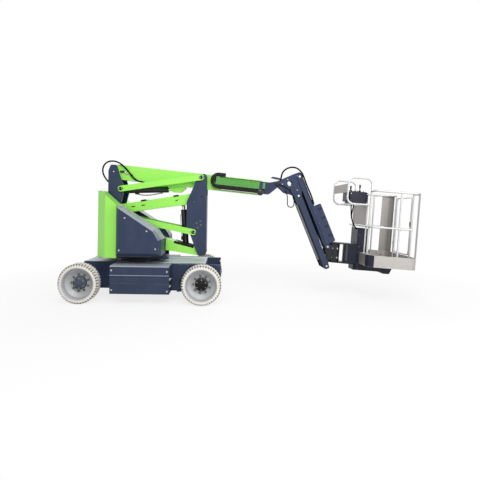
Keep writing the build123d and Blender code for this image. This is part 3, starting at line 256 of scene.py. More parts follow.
class LiftStage(bpy.types.PropertyGroup):
    """Camera and light."""

    lens: bpy.props.FloatProperty(name="Lens", description="Focal length in millimetres", default=30.0)
    distance: length_field("Distance", "Camera distance from the middle plane", 6.25)
    height: length_field("Height", "Camera height", 1.36)
    roll: bpy.props.FloatProperty(name="Roll", description="Camera roll", default=0.0148, subtype="ANGLE")
    lamp: bpy.props.FloatProperty(
        name="Key lamp", description="Power of the key lamp in watts", default=245.0)


def fill(tree, node, inputs):
    """Give a node's inputs their values, or link them to an output or to a node's first one."""
    for key, value in inputs.items():
        if isinstance(value, bpy.types.Node):
            value = value.outputs[0]
        if isinstance(value, bpy.types.NodeSocket):
            tree.links.new(value, node.inputs[key])
        else:
            node.inputs[key].default_value = value


def add_node(tree, kind, inputs=None, **settings):
    """Add a node with its settings and inputs."""
    node = tree.nodes.new(kind)
    for key, value in settings.items():
        setattr(node, key, value)
    fill(tree, node, inputs or {})
    return node


def math_node(tree, operation, *values):
    """Add a math node."""
    return add_node(tree, "ShaderNodeMath", dict(enumerate(values)), operation=operation)


def mix_colour(tree, share, first, second):
    """Mix two colours and return the output."""
    mix = add_node(tree, "ShaderNodeMix", {"Factor": share, 6: first, 7: second}, data_type="RGBA")
    return mix.outputs[2]


def mix_shader(tree, share, first, second):
    """Mix two shaders."""
    return add_node(tree, "ShaderNodeMixShader", {"Fac": share, 1: first, 2: second})


def map_range(tree, value, low, high):
    """Spread the values from low to high over 0 to 1."""
    return add_node(tree, "ShaderNodeMapRange", {"Value": value, "From Min": low, "From Max": high})


def declare(tree, way, rows):
    """Declare a group's inputs or outputs, given as name and kind."""
    for name, kind in rows.items():
        tree.interface.new_socket(name, in_out=way, socket_type="NodeSocket" + kind)


def wear_group():
    """Build the group that mottles a colour, adds dust and a painted pale highlight on upward faces, and
    gives roughness and relief.
    """
    tree = bpy.data.node_groups.new("Surface wear", "ShaderNodeTree")
    declare(tree, "INPUT", {
        "Vector": "Vector", "Colour": "Color", "Dust": "Float", "Mottle": "Float", "Roughness": "Float",
        "Painted sheen": "Float"})
    declare(tree, "OUTPUT", {"Colour": "Color", "Roughness": "Float", "Height": "Float"})
    given = add_node(tree, "NodeGroupInput").outputs
    cloud = add_node(tree, "ShaderNodeTexNoise", {"Vector": given["Vector"], "Scale": 7, "Detail": 5})
    fine = add_node(tree, "ShaderNodeTexNoise", {"Vector": given["Vector"], "Scale": 60, "Detail": 6})
    shade = add_node(tree, "ShaderNodeMapRange", {
        "Value": cloud,
        "To Min": math_node(tree, "SUBTRACT", 1.0, given["Mottle"]),
        "To Max": math_node(tree, "ADD", 1.0, given["Mottle"])})
    tone = add_node(tree, "ShaderNodeVectorMath", {0: given["Colour"], "Scale": shade}, operation="SCALE")
    patch = map_range(tree, math_node(tree, "MULTIPLY", fine, cloud), 0.2, 0.42)
    dusty = math_node(tree, "MULTIPLY", patch, given["Dust"])
    soiled = mix_colour(tree, dusty, tone, DUST_TINT)
    # Painted highlight: faces that look upward are mixed towards a pale tint, by the share the finish gives
    normal = add_node(tree, "ShaderNodeNewGeometry").outputs["Normal"]
    upright = add_node(tree, "ShaderNodeSeparateXYZ", {"Vector": normal}).outputs["Z"]
    painted_sheen_share = math_node(tree, "MULTIPLY", map_range(tree, upright, 0.25, 0.55), given["Painted sheen"])
    rough = math_node(tree, "MULTIPLY_ADD", dusty, 0.4, given["Roughness"])
    add_node(tree, "NodeGroupOutput", {
        "Colour": mix_colour(tree, painted_sheen_share, soiled, PAINTED_SHEEN_TINT),
        "Roughness": math_node(tree, "MULTIPLY_ADD", cloud, 0.06, rough),
        "Height": fine})
    return tree


def new_material(name):
    """Start a material and return it with its node tree and its shader."""
    material = bpy.data.materials.new(name)
    material.use_nodes = True
    return material, material.node_tree, material.node_tree.nodes["Principled BSDF"]


# A finish can take a painted pale highlight on its upward faces, by the share given for it
def finish(
    name, colour, roughness, metallic=0.0, coat=0.0, dust=0.1, mottle=0.04, bump=0.05, grain=None, painted_sheen=0.0,
    shine=0.5,
):
    """Make one of the machine's finishes from the shared wear group."""
    material, tree, shader = new_material(name)
    source = add_node(tree, "ShaderNodeTexCoord").outputs["Object"]
    if grain:
        source = add_node(tree, "ShaderNodeMapping", {"Vector": source, "Scale": grain})
    group = bpy.data.node_groups.get("Surface wear") or wear_group()
    wear = add_node(tree, "ShaderNodeGroup", node_tree=group)
    fill(tree, wear, {
        "Vector": source, "Colour": (*colour, 1), "Dust": dust, "Mottle": mottle, "Roughness": roughness,
        "Painted sheen": painted_sheen})
    relief = {"Height": wear.outputs["Height"], "Strength": bump, "Distance": RELIEF}
    fill(tree, shader, {
        "Base Color": wear, "Roughness": wear.outputs["Roughness"], "Metallic": metallic,
        "Normal": add_node(tree, "ShaderNodeBump", relief), "Coat Weight": coat, "Coat Roughness": 0.12,
        "Specular IOR Level": shine})
    MATERIALS[name] = material


def paint_node(name, material):
    """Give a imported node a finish."""
    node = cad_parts[name]
    if not node.material_slots:
        node.data.materials.append(MATERIALS[material])
    for slot in node.material_slots:
        slot.material = MATERIALS[material]


def piece(name, mesh, material, body):
    """Put a finished mesh in the scene on a body."""
    thing = bpy.data.objects.new(name, mesh)
    bpy.context.scene.collection.objects.link(thing)
    if not thing.data.materials:
        thing.data.materials.append(MATERIALS[material])
    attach(thing, body)
    return thing


def fastener_tree():
    """Build the node tree that sets a washer and a head with flat sides on each point."""
    tree = bpy.data.node_groups.new("Fasteners", "GeometryNodeTree")
    declare(tree, "INPUT", {
        "Points": "Geometry", "Sides": "Int", "Head height": "Float", "Finish": "Material"})
    declare(tree, "OUTPUT", {"Geometry": "Geometry"})
    given = add_node(tree, "NodeGroupInput").outputs
    head = add_node(tree, "GeometryNodeMeshCylinder", {
        "Vertices": given["Sides"], "Radius": 1, "Depth": given["Head height"]})
    washer = add_node(tree, "GeometryNodeMeshCylinder", {"Vertices": 16, "Radius": 1.4, "Depth": 0.3})
    rise = math_node(tree, "MULTIPLY_ADD", given["Head height"], 0.5, 0.15)
    lift = add_node(tree, "GeometryNodeTransform", {
        "Geometry": head, "Translation": add_node(tree, "ShaderNodeCombineXYZ", {"Z": rise})})
    both = add_node(tree, "GeometryNodeJoinGeometry")
    for part in (lift, washer):
        fill(tree, both, {"Geometry": part})
    outward, radius = (
        add_node(tree, "GeometryNodeInputNamedAttribute", {"Name": name}, data_type=kind)
        for name, kind in (("outward", "FLOAT_VECTOR"), ("radius", "FLOAT")))
    turn = add_node(tree, "FunctionNodeAlignRotationToVector", {"Vector": outward}, axis="Z")
    spread = add_node(tree, "GeometryNodeInstanceOnPoints", {
        "Points": given["Points"], "Instance": both, "Rotation": turn, "Scale": radius})
    real = add_node(tree, "GeometryNodeRealizeInstances", {"Geometry": spread})
    dress = add_node(tree, "GeometryNodeSetMaterial", {"Geometry": real, "Material": given["Finish"]})
    add_node(tree, "NodeGroupOutput", {"Geometry": dress})
    return tree


def socket_id(tree, name):
    """Give the identifier of a tree's input by its name."""
    return next(s.identifier for s in tree.interface.items_tree if s.name == name and s.in_out == "INPUT")


def fasteners(name, body, points, material, slot=None, sides=6, height=0.7):
    """Set heads on a list of (place, outward way, radius) as one plain mesh on a body."""
    tree = bpy.data.node_groups.get("Fasteners") or fastener_tree()
    cloud = bpy.data.meshes.new(name + "_points")
    cloud.from_pydata([p for p, _, _ in points], [], [])
    cloud.attributes.new("outward", "FLOAT_VECTOR", "POINT")
    cloud.attributes.new("radius", "FLOAT", "POINT")
    for i, (_, way, radius) in enumerate(points):
        cloud.attributes["outward"].data[i].vector = way
        cloud.attributes["radius"].data[i].value = radius
    carrier = bpy.data.objects.new(name + "_carrier", cloud)
    bpy.context.scene.collection.objects.link(carrier)
    made = carrier.modifiers.new("Fasteners", "NODES")
    made.node_group = tree
    made[socket_id(tree, "Sides")] = sides
    made[socket_id(tree, "Head height")] = height
    made[socket_id(tree, "Finish")] = MATERIALS[material]
    depsgraph = bpy.context.evaluated_depsgraph_get()
    mesh = bpy.data.meshes.new_from_object(carrier.evaluated_get(depsgraph))
    mesh.name = name
    bpy.data.objects.remove(carrier)
    return piece(name, mesh, material, body)


def flat_screws(name, body, spots, face, radius, material, slot=None, both=True, **form):
    """Set screws on a flat face and, with both, on its twin across the machine."""
    points = []
    for side in BOTH if both else (-1,):
        points += [((x, side * (face + SKIN), z), (0, side, 0), radius) for x, z in spots]
    return fasteners(name, body, points, material, slot, **form)


def leaning(foot, head):
    """Give a leaning member from the x and z of its two ends."""
    return foot, math.degrees(math.atan2(head[1] - foot[1], head[0] - foot[0]))


def ways(member):
    """Give the directions along and across a leaning member."""
    c, s = math.cos(math.radians(member[1])), math.sin(math.radians(member[1]))
    return (c, 0, s), (-s, 0, c)


def at(member, along, across=0.0):
    """Give the x and z of a place measured along and across a leaning member."""
    x, z = member[0]
    c, _, s = ways(member)[0]
    return x + along * c - across * s, z + along * s + across * c


def place(member, along, across, y):
    """Give a point in space from a leaning member's own measures."""
    x, z = at(member, along, across)
    return x, y, z


def outline_on(member, corners):
    """Give the outline whose corners are measured along and across a leaning member."""
    return [at(member, along, across) for along, across in corners]


def band_on(member, start, end, low, high):
    """Give the outline of a straight band on a leaning member."""
    return outline_on(member, ((start, low), (end, low), (end, high), (start, high)))


def grid_on(member, alongs, acrosses):
    """Give the places of a grid on a leaning member."""
    return [at(member, along, across) for along in alongs for across in acrosses]


RISER_BARREL = leaning((-0.868, 0.765), (-0.914, 1.402))
BOOM_BARREL = leaning((-1.840, 1.608), (-1.046, 1.634))
PLATFORM_UP = ways(PLATFORM)[1]


def ring_of(bm, centre, side, up, radius, count):
    """Add a ring of points."""
    return [
        bm.verts.new(centre + radius * (math.cos(a) * side + math.sin(a) * up))
        for a in (2 * math.pi * i / count for i in range(count))
    ]


def bridge(bm, rows):
    """Join rings of points into a closed tube with flat ends."""
    count = len(rows[0])
    for low, high in zip(rows, rows[1:]):
        for i in range(count):
            j = (i + 1) % count
            bm.faces.new((low[i], low[j], high[j], high[i]))
    bm.faces.new(rows[0])
    bm.faces.new(rows[-1])


def add_turned(bm, centre, way, profile, count=24):
    """Add a closed turned solid: profile is a list of (distance along, radius)."""
    way = Vector(way).normalized()
    side = way.orthogonal().normalized()
    up = way.cross(side)
    centre = Vector(centre)
    bridge(bm, [ring_of(bm, centre + reach * way, side, up, radius, count) for reach, radius in profile])


def add_slab(bm, outline, low, high, chamfer):
    """Add a plate that stands along y from an outline of (x, z), with its far edge chamfered."""
    mid = Vector((sum(p[0] for p in outline) / len(outline), sum(p[1] for p in outline) / len(outline)))

    def row(y, inset):
        points = []
        for x, z in outline:
            away = Vector((x, z)) - mid
            shrunk = mid + away * ((away.length - inset) / away.length)
            points.append(bm.verts.new((shrunk.x, y, shrunk.y)))
        return points

    edge = high - math.copysign(chamfer, high - low)
    bridge(bm, [row(low, 0.0), row(edge, 0.0), row(high, chamfer)])


def add_box(bm, low, high, round_edge):
    """Add a box with softened edges."""
    made = bmesh.ops.create_cube(bm, size=1)["verts"]
    middle = (Vector(low) + Vector(high)) / 2
    span = Vector(high) - Vector(low)
    for vert in made:
        vert.co = Vector((vert.co.x * span.x, vert.co.y * span.y, vert.co.z * span.z)) + middle
    edges = list(dict.fromkeys(edge for vert in made for edge in vert.link_edges))
    bmesh.ops.bevel(bm, geom=edges, offset=round_edge, segments=2, affect="EDGES")


def add_tube(bm, points, radius, count=10):
    """Add a round bar that follows points, with closed ends."""
    points = [Vector(p) for p in points]
    rows = []
    side = None
    for i, point in enumerate(points):
        before = points[max(i - 1, 0)]
        after = points[min(i + 1, len(points) - 1)]
        way = (after - before).normalized()
        side = way.orthogonal().normalized() if side is None else (side - side.dot(way) * way).normalized()
        rows.append(ring_of(bm, point, side, way.cross(side), radius, count))
    bridge(bm, rows)


def add_strip(bm, spots, face, side, width, rise):
    """Add a low ridge along points of a flat face, as a fold or a weld line."""
    rows = []
    for i, (x, z) in enumerate(spots):
        before = Vector(spots[max(i - 1, 0)])
        after = Vector(spots[min(i + 1, len(spots) - 1)])
        way = (after - before).normalized()
        out = Vector((-way.y, way.x)) * width / 2
        rows.append([
            bm.verts.new((x - out.x, side * (face + SEAM_SKIN), z - out.y)),
            bm.verts.new((x, side * (face + rise), z)),
            bm.verts.new((x + out.x, side * (face + SEAM_SKIN), z + out.y)),
        ])
    bridge(bm, rows)


def add_collars(bm, barrel, radius, collars):
    """Add nuts and caps on a cylinder's barrel from rows of place along it, width and chamfer."""
    for reach, width, chamfer in collars:
        add_turned(bm, place(barrel, reach, 0, 0), ways(barrel)[0], (
            (0, radius), (width, radius), (width + chamfer, radius - 0.003)), 28)


def mesh_of(name, build, angle=None):
    """Make a mesh with a function that fills it, smooth up to an angle where one is given."""
    bm = bmesh.new()
    build(bm)
    bmesh.ops.recalc_face_normals(bm, faces=bm.faces)
    mesh = bpy.data.meshes.new(name)
    bm.to_mesh(mesh)
    bm.free()
    if angle:
        mesh.shade_smooth()
        mesh.set_sharp_from_angle(angle=math.radians(angle))
    return mesh


def shaped(build, material, body, smooth=False, name=None):
    """Make a piece with a function that fills its mesh, named as the function where no name is given."""
    name = name or build.__name__
    return piece(name, mesh_of(name, build, PIECE_ANGLE if smooth else None), material, body)


def plate(name, material, body, outline, near, far, chamfer=0.001, sides=BOTH):
    """Make a piece of plates that lie between two distances from the middle plane."""
    def build(bm):
        for side in sides:
            add_slab(bm, outline, side * near, side * far, chamfer)

    shaped(build, material, body, name=name)


def seams(name, material, body, face, lines, width, rise):
    """Make a piece of low ridges along lines on a flat face and on its twin."""
    def build(bm):
        for side in BOTH:
            for line in lines:
                add_strip(bm, line, face, side, width, rise)

    shaped(build, material, body, name=name)


def surround(scene):
    """Make the world white to the camera and softly grey to the object."""
    world = bpy.data.worlds.new("Studio")
    scene.world = world
    world.use_nodes = True
    tree = world.node_tree
    soft = tree.nodes["Background"]
    fill(tree, soft, {"Color": WHITE, "Strength": WORLD_LIGHT})
    white = add_node(tree, "ShaderNodeBackground", {"Color": WHITE})
    rays = add_node(tree, "ShaderNodeLightPath").outputs
    seen = math_node(tree, "MAXIMUM", rays["Is Camera Ray"], rays["Is Glossy Ray"])
    seen = math_node(tree, "MAXIMUM", seen, rays["Is Transmission Ray"])
    fill(tree, tree.nodes["World Output"], {"Surface": mix_shader(tree, seen, soft, white)})


def floor(scene):
    """Lay a pale floor whose rim fades into the surround."""
    bm = bmesh.new()
    bmesh.ops.create_circle(bm, cap_ends=True, segments=64, radius=FLOOR_RADIUS)
    mesh = bpy.data.meshes.new("Floor")
    bm.to_mesh(mesh)
    bm.free()
    thing = bpy.data.objects.new("Floor", mesh)
    scene.collection.objects.link(thing)
    material, tree, shader = new_material("Pale floor")
    fill(tree, shader, {"Base Color": (0.86, 0.86, 0.86, 1), "Roughness": 0.9, "Specular IOR Level": 0.1})
    source = add_node(tree, "ShaderNodeTexCoord").outputs["Object"]
    reach = add_node(tree, "ShaderNodeVectorMath", {0: source}, operation="LENGTH").outputs["Value"]
    glow = add_node(tree, "ShaderNodeEmission", {"Color": WHITE, "Strength": 1.0})
    clear = add_node(tree, "ShaderNodeBsdfTransparent")
    seen = add_node(tree, "ShaderNodeLightPath").outputs["Is Camera Ray"]
    glowing = mix_shader(tree, math_node(tree, "MULTIPLY", seen, FLOOR_GLOW), shader, glow)
    faded = mix_shader(tree, map_range(tree, reach, *FLOOR_FADE), glowing, clear)
    fill(tree, tree.nodes["Material Output"], {"Surface": faded})
    mesh.materials.append(material)


class LIFT_OT_stage(bpy.types.Operator):
    """Set up the camera, the floor, the lamps and the white surround"""

    bl_idname = "lift.stage"
    bl_label = "Stage"

    def execute(self, context):
        scene = context.scene
        stage = scene.lift_stage
        scene.view_settings.view_transform = "Standard"
        data = bpy.data.cameras.new("Camera")
        data.lens = stage.lens
        data.sensor_width = 36
        data.shift_x, data.shift_y = CAMERA_SHIFT
        camera = bpy.data.objects.new("Camera", data)
        camera.matrix_world = (
            Matrix.Translation((CAMERA_X, -stage.distance, stage.height))
            @ Matrix.Rotation(math.radians(90), 4, "X")
            @ Matrix.Rotation(stage.roll, 4, "Z"))
        scene.collection.objects.link(camera)
        scene.camera = camera
        surround(scene)
        floor(scene)
        for name, spot, share, size in LAMPS:
            lamp = bpy.data.lights.new(name, "AREA")
            lamp.energy = stage.lamp * share
            lamp.size = size
            thing = bpy.data.objects.new(name, lamp)
            thing.location = spot
            thing.rotation_euler = (AIM - Vector(spot)).to_track_quat("-Z", "Y").to_euler()
            scene.collection.objects.link(thing)
        return {"FINISHED"}


class LIFT_OT_finishes(bpy.types.Operator):
    """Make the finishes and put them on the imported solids"""

    bl_idname = "lift.finishes"
    bl_label = "Finishes"

    def execute(self, context):
        tint = context.scene.lift_colours
        sheet = tint.metal
        post = [POST_SHADE * c for c in sheet]
        finish("Green paint", tint.paint, 0.30, coat=0.25, dust=0.03, mottle=0.03)
        finish("Beam paint", tint.beam, 0.34, coat=0.2, dust=0.04)
        finish("Navy paint", tint.navy, 0.36, coat=0.08, dust=0.02, mottle=0.08, shine=0.3)
        # The cover and deck navy are the navy paint with a painted pale highlight on their upward faces,
        # stronger on the deck
        finish("Cover navy with painted sheen", tint.navy, 0.40, coat=0.08, dust=0.03, mottle=0.08, painted_sheen=0.50, shine=0.3)
        finish("Deck navy with painted sheen", tint.navy, 0.45, coat=0.05, dust=0.03, mottle=0.10, painted_sheen=0.92, shine=0.3)
        finish("Post sheet", post, 0.42, metallic=0.6, dust=0.06, mottle=0.10, grain=BRUSHED)
        finish("Dark navy", tint.dark_navy, 0.38, coat=0.08, dust=0.02, mottle=0.10, shine=0.25)
        finish("Rim paint", tint.rim, 0.42, metallic=0.1, dust=0.10)
        finish("Tyre rubber", tint.tyre, 0.80, dust=0.25, mottle=0.05, bump=0.25)
        # Darker colour of the tread's slots: painted shade
        finish("Tyre slot painted shade", (0.31, 0.29, 0.26), 0.90, dust=0.10, mottle=0.20, shine=0.1)
        finish("Brushed sheet", sheet, 0.40, metallic=0.75, dust=0.06, mottle=0.10, bump=0.08, grain=BRUSHED)
        finish("Rail paint", tint.rail, 0.34, metallic=0.45, coat=0.1, dust=0.05)
        finish("Black casting", tint.cast, 0.45, coat=0.05, dust=0.02, mottle=0.15, bump=0.2, shine=0.25)
        finish("Black gloss", tint.cast, 0.22, coat=0.3, dust=0.01, shine=0.3)
        finish("Chrome rod", (0.80, 0.80, 0.81), 0.10, metallic=1.0, dust=0.01, mottle=0.02, bump=0.01)
        finish("Chain plastic", (0.006, 0.006, 0.007), 0.55, dust=0.01, bump=0.15, shine=0.2)
        finish("Slate hub", (0.06, 0.075, 0.105), 0.42, metallic=0.3, dust=0.04, shine=0.3)
        finish("Zinc", (0.62, 0.62, 0.60), 0.35, metallic=0.9, dust=0.08)
        finish("Dull steel", (0.16, 0.15, 0.14), 0.45, metallic=0.7, dust=0.08)
        finish("Hose rubber", (0.003, 0.003, 0.004), 0.70, dust=0.0, bump=0.15, shine=0.1)
        painted = set()
        for material, names in NODE_FINISHES.items():
            for name in names.split():
                paint_node(name, material)
                painted.add(name)
        missing = sorted(set(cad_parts) - painted)
        if missing:
            raise RuntimeError("no finish for " + ", ".join(missing))
        return {"FINISHED"}


def spline_of(name, points):
    """Lay an open NURBS line through a hose's route."""
    curve = bpy.data.curves.new(name, "CURVE")
    curve.dimensions = "3D"
    curve.resolution_u = 8
    line = curve.splines.new("NURBS")
    line.points.add(len(points) - 1)
    for point, spot in zip(line.points, points):
        point.co = (*spot, 1)
    line.order_u = 3
    line.use_endpoint_u = True
    return curve


class LIFT_OT_hoses(bpy.types.Operator):
    """Lay the hoses along their routes as tubes, each on its body where only one body holds it"""

    bl_idname = "lift.hoses"
    bl_label = "Hoses"

    def execute(self, context):
        for name, radius, body, onto, points in HOSES:
            curve = spline_of(name + "_line", points)
            hose = bpy.data.objects.new(name + "_line", curve)
            context.scene.collection.objects.link(hose)
            path = [tuple(v.co) for v in bpy.data.meshes.new_from_object(hose).vertices]
            if onto:
                bpy.data.objects.remove(hose)
                mesh = mesh_of(name + "_tube", lambda bm: add_tube(bm, path, radius, 14), HOSE_ANGLE)
                hose = bpy.data.objects.new(name + "_line", mesh)
                context.scene.collection.objects.link(hose)
            else:
                curve.bevel_depth = radius
                curve.bevel_resolution = 4
                curve.use_fill_caps = True
            hose.data.materials.append(MATERIALS["Hose rubber"])
            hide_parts(name)
            if onto:
                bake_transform(hose)
            else:
                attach(hose, body)
        return {"FINISHED"}


def tyre_tread(bm, x, side, lugs):
    """Turn a tyre whose shoulders are cut into staggered lugs."""
    far = [(TYRE_WIDTH - reach, lug, slot) for reach, lug, slot in reversed(TREAD_STATIONS[:-1])]
    rows = []
    for i in range(lugs):
        for phase in LUG_PHASES:
            angle = 2 * math.pi * (i + phase) / lugs
            row = []
            for k, (reach, lug, slot) in enumerate((*TREAD_STATIONS, *far)):
                here = phase if k < len(TREAD_STATIONS) else (phase + 0.5) % 1.0
                in_slot = not 0 < here < SLOT_PHASE
                radius = TYRE_RADIUS - (slot if in_slot else lug)
                row.append(bm.verts.new((
                    x + radius * math.cos(angle), side * (TYRE_INNER + reach),
                    TYRE_RADIUS + radius * math.sin(angle))))
            rows.append(row)
    for low, high in zip(rows, rows[1:] + rows[:1]):
        for k in range(len(low) - 1):
            face = bm.faces.new((low[k], high[k], high[k + 1], low[k + 1]))
            # Faces deep in a slot take the painted shade
            lowest = min(math.hypot(v.co.x - x, v.co.z - TYRE_RADIUS) for v in face.verts)
            in_slot = lowest < TYRE_RADIUS - SLOT_DEPTH and 0 < k < len(low) - 2
            face.material_index = 1 if in_slot else 0
        bm.faces.new((low[-1], high[-1], high[0], low[0]))


def hub_cover(bm, centre, side):
    """Turn a hub's domed cover and its centre cap."""
    add_turned(bm, centre, (0, side, 0), (
        (0.0005, 0.0965), (0.034, 0.0912), (0.043, 0.087), (0.0585, 0.054), (0.0630, 0.036)), 40)
    add_turned(bm, centre, (0, side, 0), ((0.060, 0.034), (0.0665, 0.034), (0.0685, 0.030)), 32)


def wheel_circle(centre, side, lift, radius, count, size):
    """Give the places of a circle of fasteners on a wheel."""
    x, y, z = centre
    return [
        ((x + radius * math.cos(a), y + side * lift, z + radius * math.sin(a)), (0, side, 0), size)
        for a in (2 * math.pi * (i + 0.5) / count for i in range(count))
    ]


class LIFT_OT_wheels(bpy.types.Operator):
    """Tread the four tyres and set the hub covers and nuts"""

    bl_idname = "lift.wheels"
    bl_label = "Wheels"

    def execute(self, context):
        size = context.scene.lift_sizes
        for name, x, side, hub in WHEELS:
            body = "wheel_" + name
            centre = (x, side * DISH_FACE, TYRE_RADIUS)
            tyre = shaped(lambda bm: tyre_tread(bm, x, side, size.lug_count), "Tyre rubber", body,
                          smooth=True, name="tyre_tread_" + name)
            # The second material paints shade in the tread's slots
            tyre.data.materials.append(MATERIALS["Tyre slot painted shade"])
            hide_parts("tyre_" + name)
            shaped(lambda bm: hub_cover(bm, centre, side), hub, body, True, "hub_cover_" + name)
            nuts = wheel_circle(centre, side, 0.001, size.nut_circle, size.nut_count, size.nut_radius)
            fasteners("wheel_nuts_" + name, body, nuts, "Dull steel", "rim_grey", height=1.3)
            screws = wheel_circle(centre, side, 0.0505, 0.068, 6, 0.0045)
            fasteners("hub_screws_" + name, body, screws, "Zinc", "rim_grey", sides=12, height=0.8)
        return {"FINISHED"}


def box_latches(bm):
    """Add two pull latches on the end of each battery box."""
    for side in BOTH:
        low, high = sorted((side * 0.650, side * 0.700))
        for z in (0.354, 0.257):
            add_box(bm, (-1.0300, low, z - 0.020), (-1.0250, high, z + 0.020), 0.002)
            add_box(bm, (-1.0252, low + 0.010, z - 0.012), (-1.0120, high - 0.006, z + 0.008), 0.003)
            add_tube(bm, [(x, side * y, z + rise) for x, y, rise in LATCH_HANDLE], 0.003)


def frame_fittings(bm):
    """Add grease points and hose ports under the deck."""
    for side in BOTH:
        for z, profile in (
            (0.300, ((0, 0.014), (0.010, 0.014), (0.014, 0.009))),
            (0.240, ((0, 0.010), (0.012, 0.010), (0.016, 0.006))),
        ):
            add_turned(bm, (-0.906, side * 0.464, z), (0, side, 0), profile, 16)


def deck_edges(bm):
    """Add the folded lips along the deck's long edges."""
    for side in BOTH:
        for edge in (((-2.338, 0.326), (-1.864, 0.326)), ((-1.860, 0.448), (-0.545, 0.436))):
            add_tube(bm, [(x, side * y, DECK_LIP) for x, y in edge], 0.004, 8)


class LIFT_OT_base_trim(bpy.types.Operator):
    """Add the screws, latches, seams and fittings of the base"""

    bl_idname = "lift.base_trim"
    bl_label = "Base trim"

    def execute(self, context):
        corners = ((-1.828, 0.473), (-1.059, 0.462), (-1.825, 0.200), (-1.055, 0.190))
        flat_screws("box_screws", "base", corners, BOX_FACE, 0.0085, "Zinc", "navy", sides=16, height=0.5)
        lines = [((-1.850, z), (-1.032, z)) for z in (0.402, 0.290, 0.268)]
        seams("box_seams", "Navy paint", "base", BOX_FACE, lines, 0.006, 0.0025)
        shaped(box_latches, "Zinc", "base", True)
        shaped(frame_fittings, "Black casting", "base", smooth=True)
        shaped(deck_edges, "Navy paint", "base")
        bolts = [((RING_X + RING_CIRCLE * math.cos(a), RING_CIRCLE * math.sin(a), RING_TOP), (0, 0, 1), 0.010)
                 for a in (math.radians(15 * i) for i in range(24))]
        fasteners("ring_bolts", "base", bolts, "Black casting", height=0.6)
        return {"FINISHED"}


def tail_vents(bm):
    """Add two banks of cooling louvres in the tail cover's back."""
    for side in BOTH:
        low, high = sorted((side * 0.090, side * 0.290))
        for z in (0.780 + 0.034 * i for i in range(7)):
            add_box(bm, (-2.1235, low, z), (-2.1205, high, z + 0.014), 0.001)


def tail_handles(bm):
    """Add a pull and two turn locks on the tail cover."""
    for y in (-0.330, 0.330):
        add_turned(bm, (-2.1212, y, 1.140), (-1, 0, 0), ((0, 0.020), (0.006, 0.020), (0.009, 0.014)), 20)
        add_box(bm, (-2.1330, y - 0.004, 1.126), (-2.1290, y + 0.004, 1.154), 0.001)
    pull = ((-2.1210, -0.070), (-2.1500, -0.060), (-2.1500, 0.060), (-2.1210, 0.070))
    add_tube(bm, [(x, y, 1.140) for x, y in pull], 0.007, 12)


class LIFT_OT_cover_trim(bpy.types.Operator):
    """Add the screws, seams, vents and handles of the turntable's covers"""

    bl_idname = "lift.cover_trim"
    bl_label = "Cover trim"

    def execute(self, context):
        spots = ((-1.672, 1.198), (-1.362, 1.016), (-1.237, 0.766), (-1.747, 0.743))
        form = {"sides": 16, "height": 0.5}
        flat_screws("panel_screws", "turntable", spots, PANEL_FACE, 0.0078, "Zinc", "navy", **form)
        fold = ((-1.972, 1.180), (-1.812, 1.180))
        seams("tail_seams", "Green paint", "turntable", TAIL_FACE, [fold], 0.008, 0.002)
        shaped(tail_vents, "Black casting", "turntable", smooth=True)
        shaped(tail_handles, "Black gloss", "turntable", smooth=True)
        return {"FINISHED"}


def mast_hole_painted_shade(bm):
    """Add dark discs of painted shade in the mast's blind holes."""
    for side in BOTH:
        for x, z, radius in ((-0.619, 1.529, 0.018), (-0.746, 1.512, 0.013)):
            add_turned(bm, (x, side * (MAST_FACE + SEAM_SKIN), z), (0, side, 0),
                       ((0, radius), (0.0025, radius), (0.004, radius * 0.75)), 20)


def arm_slot_painted_shade(bm):
    """Add black plates of painted shade at the upper arm's top edges, where its slots look dark."""
    for u in (0.468, 0.969):
        corners = ((u - 0.046, 0.064), (u + 0.046, 0.064), (u + 0.036, 0.090), (u - 0.036, 0.090))
        for side in BOTH:
            add_slab(bm, outline_on(UPPER_ARM, corners), side * 0.1180, side * (ARM_FACE + 0.0012), 0.001)


def riser_pipe(bm):
    """Add the steel oil pipe along the riser's barrel."""
    route = ((0.10, 0.034), (0.13, 0.058), (0.47, 0.058), (0.50, 0.036))
    add_tube(bm, [place(RISER_BARREL, along, out, -0.012) for along, out in route], 0.004)


def riser_collar(bm):
    """Add the gland nut, the end cap and the valve block on the riser's barrel."""
    add_collars(bm, RISER_BARREL, 0.043, ((0.535, 0.024, 0.0015), (0.062, 0.030, 0.002)))
    x, z = at(RISER_BARREL, 0.115)
    add_box(bm, (x - 0.066, -0.030, z - 0.028), (x - 0.036, 0.030, z + 0.028), 0.003)


